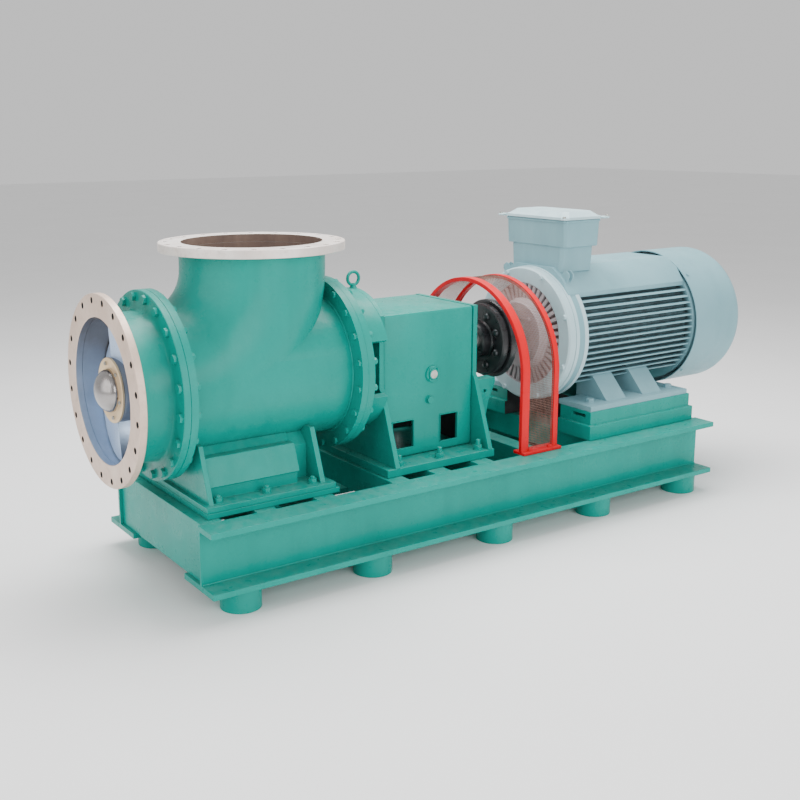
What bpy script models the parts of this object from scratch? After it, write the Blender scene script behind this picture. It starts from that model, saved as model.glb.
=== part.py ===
"""Forced circulation pump: an axial flow elbow pump, its bearing housing, coupling, guard
and motor on one welded base. Metres, +Z up, +X along the shaft from the suction flange to
the motor. The row's origin is on the floor under the middle of the machine."""

import math

import bmesh
import bpy
from mathutils import Matrix

SHAFT_HEIGHT = 0.700          # floor to shaft axis
MACHINE_LENGTH = 2.895        # tip of the hub cap to the back of the fan cowl
CAP_REACH = 0.020             # the hub cap stands out in front of the suction face
GAP = 0.0003                  # left between pieces that touch
ROUND_SIDES = 64              # sides of a large turned piece
SMALL_SIDES = 32              # sides of a shaft or a bore
BEND_SIDES = 60               # not the barrel's number, so that no two edges meet in a point

# Flanges of nominal size 500, 20 bolts
FLANGE_RADIUS = 0.3225
FLANGE_BORE_RADIUS = 0.250
BOLT_CIRCLE_RADIUS = 0.300
BOLT_HOLE_RADIUS = 0.011
BOLT_COUNT = 20
SUCTION_FLANGE_THICKNESS = 0.025
DISCHARGE_FLANGE_THICKNESS = 0.030

# Pipe and casing, places along the shaft counted from the suction face
PIPE_RADIUS = 0.2535
PIPE_BORE_RADIUS = 0.2435
JOINT_FLANGE_THICKNESS = 0.0247
SPOOL_END = 0.172
CASING_END = 0.843
REAR_FLANGE_RADIUS = 0.3145
DISCHARGE_PLACE = 0.568
DISCHARGE_TOP = 0.461
BEND_RADIUS = 0.370
BEND_STEPS = 12

# Pump foot, welded to a saddle under the barrel
PUMP_FOOT_START = 0.215
PUMP_FOOT_END = 0.705
PUMP_SOLE_END = 0.720
PUMP_FOOT_HALF_WIDTH = 0.315
WELD_OVERLAP = 0.005

# Shaft line
SHAFT_RADIUS = 0.045
MOTOR_SHAFT_RADIUS = 0.040
BEARING_CLEARANCE = 0.0005
RUNNING_CLEARANCE = 0.005

# Impeller
CAP_RADIUS = 0.072
CAP_BASE = 0.0375
HUB_RADIUS = 0.107
HUB_END = 0.158
BLADE_COUNT = 2
BLADE_TIP_RADIUS = 0.2375
BLADE_ROOT_RADIUS = 0.099
BLADE_THICKNESS = 0.010
BLADE_PITCH = 0.20            # axial travel of the blade surface in one whole turn
BLADE_LEAD_PLACE = 0.045
BLADE_LEAD_ANGLE = math.radians(8)
BLADE_ROOT_WRAP = math.radians(166)
BLADE_TIP_WRAP = math.radians(174)

# Rear cover and lantern
COVER_THICKNESS = 0.0287
SEAL_RADIUS = 0.090
SEAL_END = 0.930
LANTERN_RADIUS = 0.262
LANTERN_WALL = 0.028
LANTERN_HALF_ANGLE = math.radians(67)
LANTERN_RIM = 0.018           # the lantern's front ring stands out this far
LANTERN_RING_LENGTH = 0.016

# Bearing housing
HOUSING_START = 0.976
HOUSING_END = 1.430
FRONT_PLATE_THICKNESS = 0.020
REAR_PLATE_THICKNESS = 0.020
HOUSING_HALF_WIDTH = 0.185
HOUSING_TOP = 0.180
FLARE_TOP = -0.100            # the end plates widen below this height
FOOT_HALF_WIDTH = 0.290
HOUSING_WALL = 0.014
HOUSING_ROUNDING = 0.010
HOUSING_BASE_THICKNESS = 0.030
HOUSING_BASE_START = 0.940
HOUSING_BASE_END = 1.440
WINDOW_TOP = -0.224
WINDOW_BOTTOM = -0.330
WINDOWS = ((1.033, 1.131), (1.254, 1.339))
BEARING_COVER_RADIUS = 0.105
BEARING_COVER_LENGTH = 0.032
BRACKET_INNER = 0.150         # brackets at both sides behind the rear plate, in Y
BRACKET_OUTER = 0.200
BRACKET_SIDE = ((1.512, -0.110), (1.512, -0.128), (1.480, -0.200), (1.470, -0.250))
BRACKET_HOLE = (1.462, -0.157)
BRACKET_HOLE_RADIUS = 0.007
SIGHT_GLASS_PLACE = (1.217, -0.061)
SIGHT_GLASS_RADIUS = 0.030
SIGHT_GLASS_DEPTH = 0.016
BREATHER_PLACE = (1.050, 0.060)
EYE_PLACE = 0.986
EYE_RADIUS = 0.0245
EYE_WIRE_RADIUS = 0.0060

# Coupling and guard
COUPLING_PUMP_RADIUS = 0.145
COUPLING_MOTOR_RADIUS = 0.160
COUPLING_PUMP_HUB = 0.072
COUPLING_MOTOR_HUB = 0.085
COUPLING_START = 1.560
COUPLING_SPLIT = 1.630
COUPLING_GAP = 0.004
COUPLING_END = 1.730
COUPLING_FLANGE = 0.028
SHAFT_END_GAP = 0.010         # from the middle of the coupling to each shaft's end
GUARD_START = 1.527
GUARD_END = 1.713
GUARD_RADIUS = 0.345
GUARD_BAR_DEPTH = 0.016
GUARD_FRONT_BAR = 0.036
GUARD_REAR_BAR = 0.024
GUARD_CENTRE_HEIGHT = -0.088
MESH_THICKNESS = 0.004
MESH_INSET = 0.002
RAIL_HEIGHT = 0.012
RAIL_INNER = 0.299
RAIL_OUTER = 0.361
RAIL_OVERHANG = 0.010

# Motor, frame size 280
MOTOR_FOOT_DROP = 0.280
MOTOR_FACE = 1.800
SHIELD_END = 1.866
FRAME_RING_END = 1.935
FRAME_END = 2.560
MOTOR_RADIUS = 0.277
FRAME_CORE_RADIUS = 0.237
HOOD_START = 1.875            # flat topped part of the frame, half outline in Y and Z
HOOD_OUTLINE = ((0.212, 0.168), (0.213, 0.186), (0.172, 0.2445), (0.110, 0.283))
FIN_COUNT = 14
FIN_TOP = 0.150
FIN_BOTTOM = -0.185
FIN_THICKNESS = 0.007
FIN_REACH = 0.274
COWL_RADIUS = 0.299
COWL_ROUNDING = 0.055
COWL_RECESS_RADIUS = 0.190
COWL_RECESS_DEPTH = 0.020
BOX_START = 1.880
BOX_END = 2.080
BOX_HALF_WIDTH = 0.176
BOX_BOTTOM = 0.366
BOX_TOP = 0.478
LID_TOP = 0.505
LID_OVERHANG = 0.014
NECK_START = 1.885
NECK_END = 2.070
NECK_HALF_WIDTH = 0.156
MOTOR_FEET_START = 1.905
MOTOR_FEET_END = 2.478
MOTOR_FOOT_INNER = 0.150
MOTOR_FOOT_OUTER = 0.334
MOTOR_FOOT_THICKNESS = 0.020
FOOT_RIB_WIDTH = 0.112
FOOT_RIB_PLACES = (2.033, 2.245)

# Motor pedestal, two stacked blocks with a slot in the front end of the upper one
PEDESTAL_START = 1.887
PEDESTAL_END = 2.500
PEDESTAL_HALF_WIDTH = 0.352
PEDESTAL_STEP = 0.060
PEDESTAL_STEP_INSET = 0.013
PEDESTAL_SLOT = (0.233, 0.308, -0.307, -0.295)
PEDESTAL_SLOT_DEPTH = 0.030
PEDESTAL_NOTCH_HALF_WIDTH = 0.165    # open space between the two sides, at the front
PEDESTAL_NOTCH_END = 2.035

# Base
BASE_START = 0.168
BASE_END = 2.537
BASE_HALF_WIDTH = 0.438
BASE_TOP = -0.394
BASE_BOTTOM = -0.617
PLATE_THICKNESS = 0.020
WEB_THICKNESS = 0.012
TOP_FLANGE_WIDTH = 0.100
BOTTOM_FLANGE_WIDTH = 0.220
CROSS_WIDTH = 0.075
CROSS_DEPTH = 0.100
CROSS_PLACES = (0.420, 0.650, 0.965, 1.155, 1.360, 1.620, 1.960, 2.260)
STUB_RADIUS = 0.070
STUB_PLACES = (0.310, 0.835, 1.400, 1.925, 2.440)
STUB_INSET = 0.093            # base edge to the middle of a stub
CHANNEL_INSET = 0.012
CHANNEL_REACH = 0.075

GREEN = (0.005, 0.300, 0.250)
BARE_STEEL = (0.62, 0.58, 0.53)
MOTOR_GREY = (0.33, 0.44, 0.46)
BLACK = (0.012, 0.012, 0.014)
RED = (0.45, 0.025, 0.02)
MESH_GREY = (0.20, 0.17, 0.14)

AXIAL = (0.0, math.radians(90), 0.0)                  # local Z to world X
ACROSS = (math.radians(90), 0.0, math.radians(90))    # outline in Y and Z, thickness along X
ALONG = (math.radians(90), 0.0, 0.0)                  # outline in X and Z, thickness along Y


def clear_scene():
    for old in list(bpy.data.objects):
        bpy.data.objects.remove(old, do_unlink=True)


def make_collection(name):
    made = bpy.data.collections.new(name)
    bpy.context.scene.collection.children.link(made)
    return made


def make_material(name, colour, roughness=0.45, metallic=0.0):
    material = bpy.data.materials.new(name)
    material.use_nodes = True
    shader = material.node_tree.nodes["Principled BSDF"]
    shader.inputs["Base Color"].default_value = (*colour, 1.0)
    shader.inputs["Roughness"].default_value = roughness
    shader.inputs["Metallic"].default_value = metallic
    return material


def add_object(name, mesh, place, turn=(0.0, 0.0, 0.0), parent=None):
    made = bpy.data.objects.new(name, mesh)
    parts.objects.link(made)
    made.location = place
    made.rotation_euler = turn
    made.parent = parent or datum
    return made


def as_tool(made):
    """A body that only cuts or joins another one."""
    parts.objects.unlink(made)
    tools.objects.link(made)
    made.hide_render = True
    made.display_type = 'WIRE'
    return made


def finish(made, colour, roughness=0.45, metallic=0.0, smooth=True):
    """The piece's own material, and smooth shading that keeps its edges."""
    made.data.materials.append(make_material(made.name + "_finish", colour, roughness, metallic))
    if smooth:
        made.data.shade_smooth()
        made.data.set_sharp_from_angle(angle=math.radians(35))
    return made


def boolean(made, tool, operation):
    step = made.modifiers.new(operation.lower() + "_" + tool.name, 'BOOLEAN')
    step.operation = operation
    step.object = as_tool(tool)
    return made


def bevel(made, width, segments=2, angle=40):
    step = made.modifiers.new("edge_round", 'BEVEL')
    step.width = width
    step.segments = segments
    step.limit_method = 'ANGLE'
    step.angle_limit = math.radians(angle)
    return made


def mesh_from(work, name):
    mesh = bpy.data.meshes.new(name)
    work.to_mesh(mesh)
    work.free()
    return mesh


def box(name, low, high):
    """A block between two corners, with its origin at its middle."""
    size = [high[axis] - low[axis] for axis in range(3)]
    middle = [(high[axis] + low[axis]) / 2 for axis in range(3)]
    work = bmesh.new()
    bmesh.ops.create_cube(work, size=1.0)
    bmesh.ops.scale(work, vec=size, verts=work.verts)
    return add_object(name, mesh_from(work, name), middle)


def rod(name, radius, start, end, sides=SMALL_SIDES, height=0.0):
    """A cylinder along the shaft direction."""
    work = bmesh.new()
    bmesh.ops.create_cone(work, cap_ends=True, segments=sides, radius1=radius, radius2=radius,
                          depth=end - start)
    return add_object(name, mesh_from(work, name), ((start + end) / 2, 0.0, height), AXIAL)


def post(name, radius, place, bottom, top, sides=SMALL_SIDES):
    """An upright cylinder."""
    work = bmesh.new()
    bmesh.ops.create_cone(work, cap_ends=True, segments=sides, radius1=radius, radius2=radius,
                          depth=top - bottom)
    return add_object(name, mesh_from(work, name), (place[0], place[1], (bottom + top) / 2))


def turned(name, profile, sides=ROUND_SIDES, closed=True):
    """A profile of (place along the shaft, radius) turned about the shaft. It starts at the
    far end of the outer side. A closed profile makes a ring, an open one starts and ends on
    the axis."""
    work = bmesh.new()
    points = [work.verts.new((radius, 0.0, place)) for place, radius in profile]
    for first, second in zip(points, points[1:]):
        work.edges.new((first, second))
    if closed:
        work.edges.new((points[-1], points[0]))
    made = add_object(name, mesh_from(work, name), (0.0, 0.0, 0.0), AXIAL)
    step = made.modifiers.new("turn", 'SCREW')
    step.axis = 'Z'
    step.angle = math.tau
    step.steps = sides
    step.render_steps = sides
    step.use_merge_vertices = True
    step.merge_threshold = 0.0001
    return made


def plate(name, outline, start, end, turn=ACROSS, holes=()):
    """A flat outline with a thickness. Across the shaft the outline is (Y, Z) and start to end
    runs along X; along the shaft it is (X, Z) and start to end runs along Y."""
    curve = bpy.data.curves.new(name, 'CURVE')
    curve.dimensions = '2D'
    curve.fill_mode = 'BOTH'
    curve.extrude = (end - start) / 2
    for ring in (outline, *holes):
        spline = curve.splines.new('POLY')
        spline.points.add(len(ring) - 1)
        for point, (across, up) in zip(spline.points, ring):
            point.co = (across, up, 0.0, 1.0)
        spline.use_cyclic_u = True
    middle = (start + end) / 2
    place = (middle, 0.0, 0.0) if turn is ACROSS else (0.0, middle, 0.0)
    return as_mesh(add_object(name, curve, place, turn))


def as_mesh(curved):
    """A curve object as a mesh object with welded caps, in the same place."""
    bpy.context.view_layer.update()
    evaluated = curved.evaluated_get(bpy.context.evaluated_depsgraph_get())
    mesh = bpy.data.meshes.new_from_object(evaluated)
    name = curved.name
    work = bmesh.new()
    work.from_mesh(mesh)
    bmesh.ops.remove_doubles(work, verts=work.verts, dist=0.00001)
    bmesh.ops.recalc_face_normals(work, faces=work.faces)
    work.to_mesh(mesh)
    work.free()
    world = curved.matrix_world.copy()
    bpy.data.objects.remove(curved, do_unlink=True)
    mesh.name = name
    made = add_object(name, mesh, (0.0, 0.0, 0.0))
    made.matrix_world = world
    return made


def arc(radius, start, end, steps, centre=(0.0, 0.0)):
    """Points on a circle, angles counted from up towards the far side (+Y)."""
    return [(centre[0] + radius * math.sin(start + (end - start) * step / steps),
             centre[1] + radius * math.cos(start + (end - start) * step / steps))
            for step in range(steps + 1)]


def bend(name, radius, start, top):
    """A solid tube that leaves the shaft direction and turns upwards."""
    centre_place = DISCHARGE_PLACE - BEND_RADIUS
    path = [(start, 0.0)]
    for step in range(BEND_STEPS + 1):
        turn = math.radians(90) * step / BEND_STEPS
        path.append((centre_place + BEND_RADIUS * math.sin(turn),
                     BEND_RADIUS - BEND_RADIUS * math.cos(turn)))
    path.append((DISCHARGE_PLACE, top))
    curve = bpy.data.curves.new(name, 'CURVE')
    curve.dimensions = '3D'
    curve.bevel_depth = radius
    curve.bevel_resolution = BEND_SIDES // 2 - 2
    curve.use_fill_caps = True
    spline = curve.splines.new('POLY')
    spline.points.add(len(path) - 1)
    for point, (along, up) in zip(spline.points, path):
        point.co = (along, 0.0, up, 1.0)
    return as_mesh(add_object(name, curve, (0.0, 0.0, 0.0)))


def bolt_holes(name, low, high, upright=None):
    """All the bolt holes of a flange as one cutter, straddling its centre lines."""
    work = bmesh.new()
    for index in range(BOLT_COUNT):
        angle = math.tau * (index + 0.5) / BOLT_COUNT
        across = BOLT_CIRCLE_RADIUS * math.sin(angle)
        up = BOLT_CIRCLE_RADIUS * math.cos(angle)
        bmesh.ops.create_cone(work, cap_ends=True, segments=12, radius1=BOLT_HOLE_RADIUS,
                              radius2=BOLT_HOLE_RADIUS, depth=high - low,
                              matrix=Matrix.Translation((up, across, (low + high) / 2)))
    if upright is None:
        return add_object(name, mesh_from(work, name), (0.0, 0.0, 0.0), AXIAL)
    return add_object(name, mesh_from(work, name), (upright, 0.0, 0.0))


def make_flanges():
    face = SUCTION_FLANGE_THICKNESS
    ring = turned("suction_flange", [(face, FLANGE_RADIUS), (0.0, FLANGE_RADIUS),
                                     (0.0, FLANGE_BORE_RADIUS), (face, FLANGE_BORE_RADIUS)])
    boolean(ring, bolt_holes("suction_flange_holes", -0.01, face + 0.01), 'DIFFERENCE')
    finish(ring, BARE_STEEL, 0.38, 0.9)

    bottom = DISCHARGE_TOP - DISCHARGE_FLANGE_THICKNESS
    ring = turned("discharge_flange", [(DISCHARGE_TOP, FLANGE_RADIUS), (bottom, FLANGE_RADIUS),
                                       (bottom, FLANGE_BORE_RADIUS),
                                       (DISCHARGE_TOP, FLANGE_BORE_RADIUS)])
    ring.rotation_euler = (0.0, 0.0, 0.0)
    ring.location = (DISCHARGE_PLACE, 0.0, 0.0)
    boolean(ring, bolt_holes("discharge_flange_holes", bottom - 0.01, DISCHARGE_TOP + 0.01,
                             DISCHARGE_PLACE), 'DIFFERENCE')
    finish(ring, BARE_STEEL, 0.38, 0.9)


def make_spool():
    start = SUCTION_FLANGE_THICKNESS + GAP
    flange = SPOOL_END - JOINT_FLANGE_THICKNESS
    end = SPOOL_END - GAP
    finish(turned("suction_spool", [(end, FLANGE_RADIUS), (flange, FLANGE_RADIUS),
                                    (flange, PIPE_RADIUS), (start, PIPE_RADIUS),
                                    (start, PIPE_BORE_RADIUS), (end, PIPE_BORE_RADIUS)]), GREEN)


def make_casing():
    front = SPOOL_END + JOINT_FLANGE_THICKNESS
    rear = CASING_END - JOINT_FLANGE_THICKNESS
    casing = turned("casing", [(CASING_END, 0.0), (CASING_END, REAR_FLANGE_RADIUS),
                               (rear, REAR_FLANGE_RADIUS), (rear, PIPE_RADIUS),
                               (front, PIPE_RADIUS), (front, FLANGE_RADIUS),
                               (SPOOL_END, FLANGE_RADIUS), (SPOOL_END, 0.0)], closed=False)
    neck_top = DISCHARGE_TOP - DISCHARGE_FLANGE_THICKNESS - GAP
    boolean(casing, bend("casing_bend", PIPE_RADIUS - GAP, front - 0.01, neck_top), 'UNION')
    boolean(casing, rod("casing_bore", PIPE_BORE_RADIUS, SPOOL_END - 0.02, CASING_END + 0.02,
                        ROUND_SIDES), 'DIFFERENCE')
    boolean(casing, bend("casing_bend_bore", PIPE_BORE_RADIUS - GAP, SPOOL_END - 0.02,
                         neck_top + 0.02), 'DIFFERENCE')
    finish(casing, GREEN)


def mirrored(half):
    """A whole outline from its half on the far side, listed from the foot up."""
    return list(half) + [(-across, up) for across, up in reversed(half)]


def make_pump_foot():
    sole = BASE_TOP + PLATE_THICKNESS
    flange = sole + PLATE_THICKNESS
    sunk = flange - WELD_OVERLAP
    width = PUMP_FOOT_HALF_WIDTH
    finish(box("pump_sole_plate", (PUMP_FOOT_START, -width, BASE_TOP + GAP),
               (PUMP_SOLE_END, width, sole)), GREEN, smooth=False)
    foot = box("pump_foot", (PUMP_FOOT_START, -width, sole + GAP), (PUMP_FOOT_END, width, flange))
    panel = mirrored([(0.245, sunk), (0.245, -0.314), (0.262, -0.308), (0.226, -0.216),
                      (0.190, -0.216), (0.150, -0.178)])
    boolean(foot, plate("pump_foot_panel", panel, 0.241, 0.592), 'UNION')
    core = mirrored([(0.197, sunk), (0.197, -0.236), (0.147, -0.186)])
    boolean(foot, plate("pump_foot_core", core, 0.580, 0.665), 'UNION')
    side = mirrored([(0.296, sunk), (0.225, -0.172)])
    boolean(foot, plate("pump_foot_front_side", side, 0.232, 0.250), 'UNION')
    boolean(foot, plate("pump_foot_rear_side", side, 0.655, 0.675), 'UNION')
    boolean(foot, rod("pump_foot_saddle", PIPE_RADIUS + GAP, 0.10, 0.80, ROUND_SIDES),
            'DIFFERENCE')
    finish(foot, GREEN)


def make_rear_cover():
    start = CASING_END + GAP
    face = start + COVER_THICKNESS
    bore = SHAFT_RADIUS + RUNNING_CLEARANCE
    finish(turned("rear_cover", [(SEAL_END, SEAL_RADIUS), (face, SEAL_RADIUS),
                                 (face, REAR_FLANGE_RADIUS), (start, REAR_FLANGE_RADIUS),
                                 (start, bore), (SEAL_END, bore)]), GREEN)
    return face


def make_lantern(start):
    """Two arched arms from the rear cover to the bearing housing, open at both sides."""
    inner = LANTERN_RADIUS - LANTERN_WALL
    front = start + GAP
    end = HOUSING_START - GAP
    ring_end = front + LANTERN_RING_LENGTH
    rim = LANTERN_RADIUS + LANTERN_RIM
    lantern = turned("lantern", [(ring_end, rim), (front, rim), (front, inner),
                                 (ring_end, inner)])
    for side, middle in (("top", 0.0), ("bottom", math.pi)):
        outer_arc = arc(LANTERN_RADIUS, middle - LANTERN_HALF_ANGLE,
                        middle + LANTERN_HALF_ANGLE, 20)
        inner_arc = arc(inner + 0.003, middle - LANTERN_HALF_ANGLE,
                        middle + LANTERN_HALF_ANGLE, 20)
        arm = plate("lantern_" + side, outer_arc + inner_arc[::-1], front + 0.004, end)
        boolean(lantern, arm, 'UNION')
    finish(lantern, GREEN)


def front_plate_outline():
    """Flared sides from the foot up, and an arched crown that carries the lantern's top."""
    foot = BASE_TOP + HOUSING_BASE_THICKNESS + GAP
    far = [(FOOT_HALF_WIDTH, foot), (HOUSING_HALF_WIDTH + 0.010, FLARE_TOP),
           (HOUSING_HALF_WIDTH, FLARE_TOP + 0.012), (HOUSING_HALF_WIDTH, HOUSING_TOP - 0.002)]
    half = math.acos(HOUSING_TOP / LANTERN_RADIUS)
    crown = arc(LANTERN_RADIUS, half, -half, 14)
    return far + crown + [(-across, up) for across, up in reversed(far)]


def rear_plate_outline():
    """Flared sides from the foot up, square at the top."""
    foot = BASE_TOP + HOUSING_BASE_THICKNESS + GAP
    return mirrored([(FOOT_HALF_WIDTH, foot), (HOUSING_HALF_WIDTH + 0.010, FLARE_TOP),
                     (HOUSING_HALF_WIDTH, FLARE_TOP + 0.012), (HOUSING_HALF_WIDTH, HOUSING_TOP)])


def make_bracket(name, side):
    """A gusset that stands out behind the rear plate, with one hole through it."""
    root = HOUSING_END - WELD_OVERLAP
    outline = [(root, BRACKET_SIDE[0][1])] + list(BRACKET_SIDE) + [(root, BRACKET_SIDE[-1][1])]
    hole = [(BRACKET_HOLE[0] + across, BRACKET_HOLE[1] + up)
            for across, up in round_hole(BRACKET_HOLE_RADIUS, 12)]
    low, high = sorted((side * BRACKET_INNER, side * BRACKET_OUTER))
    return plate(name, outline, low, high, ALONG, holes=(hole,))


def round_hole(radius, sides=SMALL_SIDES, centre=(0.0, 0.0)):
    return arc(radius, 0.0, math.tau - math.tau / sides, sides - 1, centre)


def make_bearing_housing():
    foot = BASE_TOP + HOUSING_BASE_THICKNESS
    bearing = round_hole(SHAFT_RADIUS + BEARING_CLEARANCE)
    inner_start = HOUSING_START + FRONT_PLATE_THICKNESS
    inner_end = HOUSING_END - REAR_PLATE_THICKNESS
    finish(box("housing_base_plate", (HOUSING_BASE_START, -FOOT_HALF_WIDTH, BASE_TOP + GAP),
               (HOUSING_BASE_END, FOOT_HALF_WIDTH, foot)), GREEN, smooth=False)
    finish(plate("housing_front_plate", front_plate_outline(), HOUSING_START,
                 inner_start - GAP, holes=(bearing,)), GREEN)
    rear = plate("housing_rear_plate", rear_plate_outline(), inner_end + GAP, HOUSING_END,
                 holes=(bearing,))
    boolean(rear, make_bracket("housing_bracket_near", -1), 'UNION')
    boolean(rear, make_bracket("housing_bracket_far", 1), 'UNION')
    finish(rear, GREEN, smooth=False)

    housing = box("bearing_housing", (inner_start, -HOUSING_HALF_WIDTH, foot + GAP),
                  (inner_end, HOUSING_HALF_WIDTH, HOUSING_TOP))
    bevel(housing, HOUSING_ROUNDING)
    cavity_top = WINDOW_TOP + 0.030
    boolean(housing, box("housing_cavity",
                         (inner_start + HOUSING_WALL, HOUSING_WALL - HOUSING_HALF_WIDTH,
                          foot - 0.05),
                         (inner_end - HOUSING_WALL, HOUSING_HALF_WIDTH - HOUSING_WALL,
                          cavity_top)), 'DIFFERENCE')
    for index, (start, end) in enumerate(WINDOWS):
        boolean(housing, box("housing_window_" + str(index + 1),
                             (start, -HOUSING_HALF_WIDTH - 0.05, WINDOW_BOTTOM),
                             (end, HOUSING_HALF_WIDTH + 0.05, WINDOW_TOP)), 'DIFFERENCE')
    boolean(housing, rod("housing_shaft_bore", SHAFT_RADIUS + RUNNING_CLEARANCE,
                         inner_start - 0.05, inner_end + 0.05), 'DIFFERENCE')
    finish(housing, GREEN)

    bore = SHAFT_RADIUS + RUNNING_CLEARANCE
    cover_end = HOUSING_END + BEARING_COVER_LENGTH
    finish(turned("bearing_cover", [(cover_end, BEARING_COVER_RADIUS - 0.012),
                                    (cover_end - 0.012, BEARING_COVER_RADIUS),
                                    (HOUSING_END + GAP, BEARING_COVER_RADIUS),
                                    (HOUSING_END + GAP, bore), (cover_end, bore)], 48), GREEN)

    wall = -HOUSING_HALF_WIDTH - GAP
    disc = rod("sight_glass", SIGHT_GLASS_RADIUS, 0.0, SIGHT_GLASS_DEPTH)
    disc.rotation_euler = ALONG
    disc.location = (SIGHT_GLASS_PLACE[0], wall - SIGHT_GLASS_DEPTH / 2, SIGHT_GLASS_PLACE[1])
    finish(disc, GREEN)
    finish(post("breather", 0.014, BREATHER_PLACE, HOUSING_TOP + GAP, HOUSING_TOP + 0.030),
           (0.45, 0.42, 0.22))


def make_eyebolt():
    """A ring eye on a collar, on the crown of the housing's front plate."""
    place = EYE_PLACE
    foot = LANTERN_RADIUS + GAP
    ring_middle = foot + 0.034
    eye = post("lifting_eye", 0.0095, (place, 0.0), foot, foot + 0.014, 16)
    work = bmesh.new()
    mesh = bpy.data.meshes.new("lifting_eye_ring")
    bpy.ops.mesh.primitive_torus_add(major_segments=24, minor_segments=10,
                                     major_radius=EYE_RADIUS, minor_radius=EYE_WIRE_RADIUS)
    torus = bpy.context.object
    work.from_mesh(torus.data)
    bpy.data.objects.remove(torus, do_unlink=True)
    work.to_mesh(mesh)
    work.free()
    ring = add_object("lifting_eye_ring", mesh, (place, 0.0, ring_middle), ALONG)
    boolean(eye, ring, 'UNION')
    finish(eye, GREEN)


def make_blade_mesh(index):
    """One blade: a screw surface that starts at a radial leading edge. A point turns by an
    angle about the shaft and travels along it by that angle times the pitch over a turn."""
    radial_steps = 6
    chord_steps = 18
    lead = BLADE_LEAD_ANGLE + math.tau * index / BLADE_COUNT
    work = bmesh.new()
    rows = []
    for radial in range(radial_steps + 1):
        part = radial / radial_steps
        radius = BLADE_ROOT_RADIUS + (BLADE_TIP_RADIUS - BLADE_ROOT_RADIUS) * part
        wrap = BLADE_ROOT_WRAP + (BLADE_TIP_WRAP - BLADE_ROOT_WRAP) * part
        row = []
        for chord in range(chord_steps + 1):
            angle = wrap * chord / chord_steps
            row.append(work.verts.new((BLADE_LEAD_PLACE + BLADE_PITCH * angle / math.tau,
                                       radius * math.sin(lead - angle),
                                       radius * math.cos(lead - angle))))
        rows.append(row)
    for low, high in zip(rows, rows[1:]):
        for chord in range(chord_steps):
            work.faces.new((low[chord], low[chord + 1], high[chord + 1], high[chord]))
    return mesh_from(work, "blade_" + str(index + 1))


def make_rotor():
    depth = CAP_BASE + CAP_REACH
    cap_profile = [(CAP_BASE, CAP_RADIUS)]
    for step in range(1, 8):
        angle = math.radians(90) * step / 8
        cap_profile.append((CAP_BASE - depth * math.sin(angle), CAP_RADIUS * math.cos(angle)))
    cap_profile.append((CAP_BASE - depth, 0.0))
    cap_profile.insert(0, (CAP_BASE, 0.0))
    finish(turned("hub_cap", cap_profile, 48, closed=False), BARE_STEEL, 0.4, 0.9)

    hub = turned("impeller", [(HUB_END, 0.0), (HUB_END, HUB_RADIUS), (CAP_BASE + GAP, HUB_RADIUS),
                              (CAP_BASE + GAP, 0.0)], 48, closed=False)
    for index in range(BLADE_COUNT):
        blade = add_object("blade_" + str(index + 1), make_blade_mesh(index), (0.0, 0.0, 0.0))
        skin = blade.modifiers.new("thickness", 'SOLIDIFY')
        skin.thickness = BLADE_THICKNESS
        skin.offset = 0.0
        boolean(hub, blade, 'UNION')
    finish(hub, (0.10, 0.13, 0.20), 0.35, 0.7)

    finish(rod("pump_shaft", SHAFT_RADIUS, HUB_END + GAP, COUPLING_SPLIT - SHAFT_END_GAP),
           BARE_STEEL, 0.3, 0.9)
    finish(rod("motor_shaft", MOTOR_SHAFT_RADIUS, COUPLING_SPLIT + SHAFT_END_GAP,
               SHIELD_END - SHAFT_END_GAP), BARE_STEEL, 0.3, 0.9)

    hub_bore = SHAFT_RADIUS + GAP
    end = COUPLING_SPLIT - COUPLING_GAP / 2
    flange = end - COUPLING_FLANGE
    finish(turned("coupling_pump_half", [(end, COUPLING_PUMP_RADIUS),
                                         (flange, COUPLING_PUMP_RADIUS),
                                         (flange, COUPLING_PUMP_HUB),
                                         (COUPLING_START, COUPLING_PUMP_HUB),
                                         (COUPLING_START, hub_bore), (end, hub_bore)], 48),
           BLACK, 0.4)
    bore = MOTOR_SHAFT_RADIUS + GAP
    start = COUPLING_SPLIT + COUPLING_GAP / 2
    flange = start + COUPLING_FLANGE
    finish(turned("coupling_motor_half", [(COUPLING_END, COUPLING_MOTOR_HUB),
                                          (flange, COUPLING_MOTOR_HUB),
                                          (flange, COUPLING_MOTOR_RADIUS),
                                          (start, COUPLING_MOTOR_RADIUS),
                                          (start, bore), (COUPLING_END, bore)], 48),
           BLACK, 0.4)


def guard_outline(outer, inner, foot):
    """An upturned U: a half ring on two legs."""
    quarter = math.radians(90)
    over = arc(outer, -quarter, quarter, 24, (0.0, GUARD_CENTRE_HEIGHT))
    under = arc(inner, -quarter, quarter, 24, (0.0, GUARD_CENTRE_HEIGHT))
    return [(-outer, foot)] + over + [(outer, foot), (inner, foot)] + under[::-1] + [(-inner, foot)]


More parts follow.
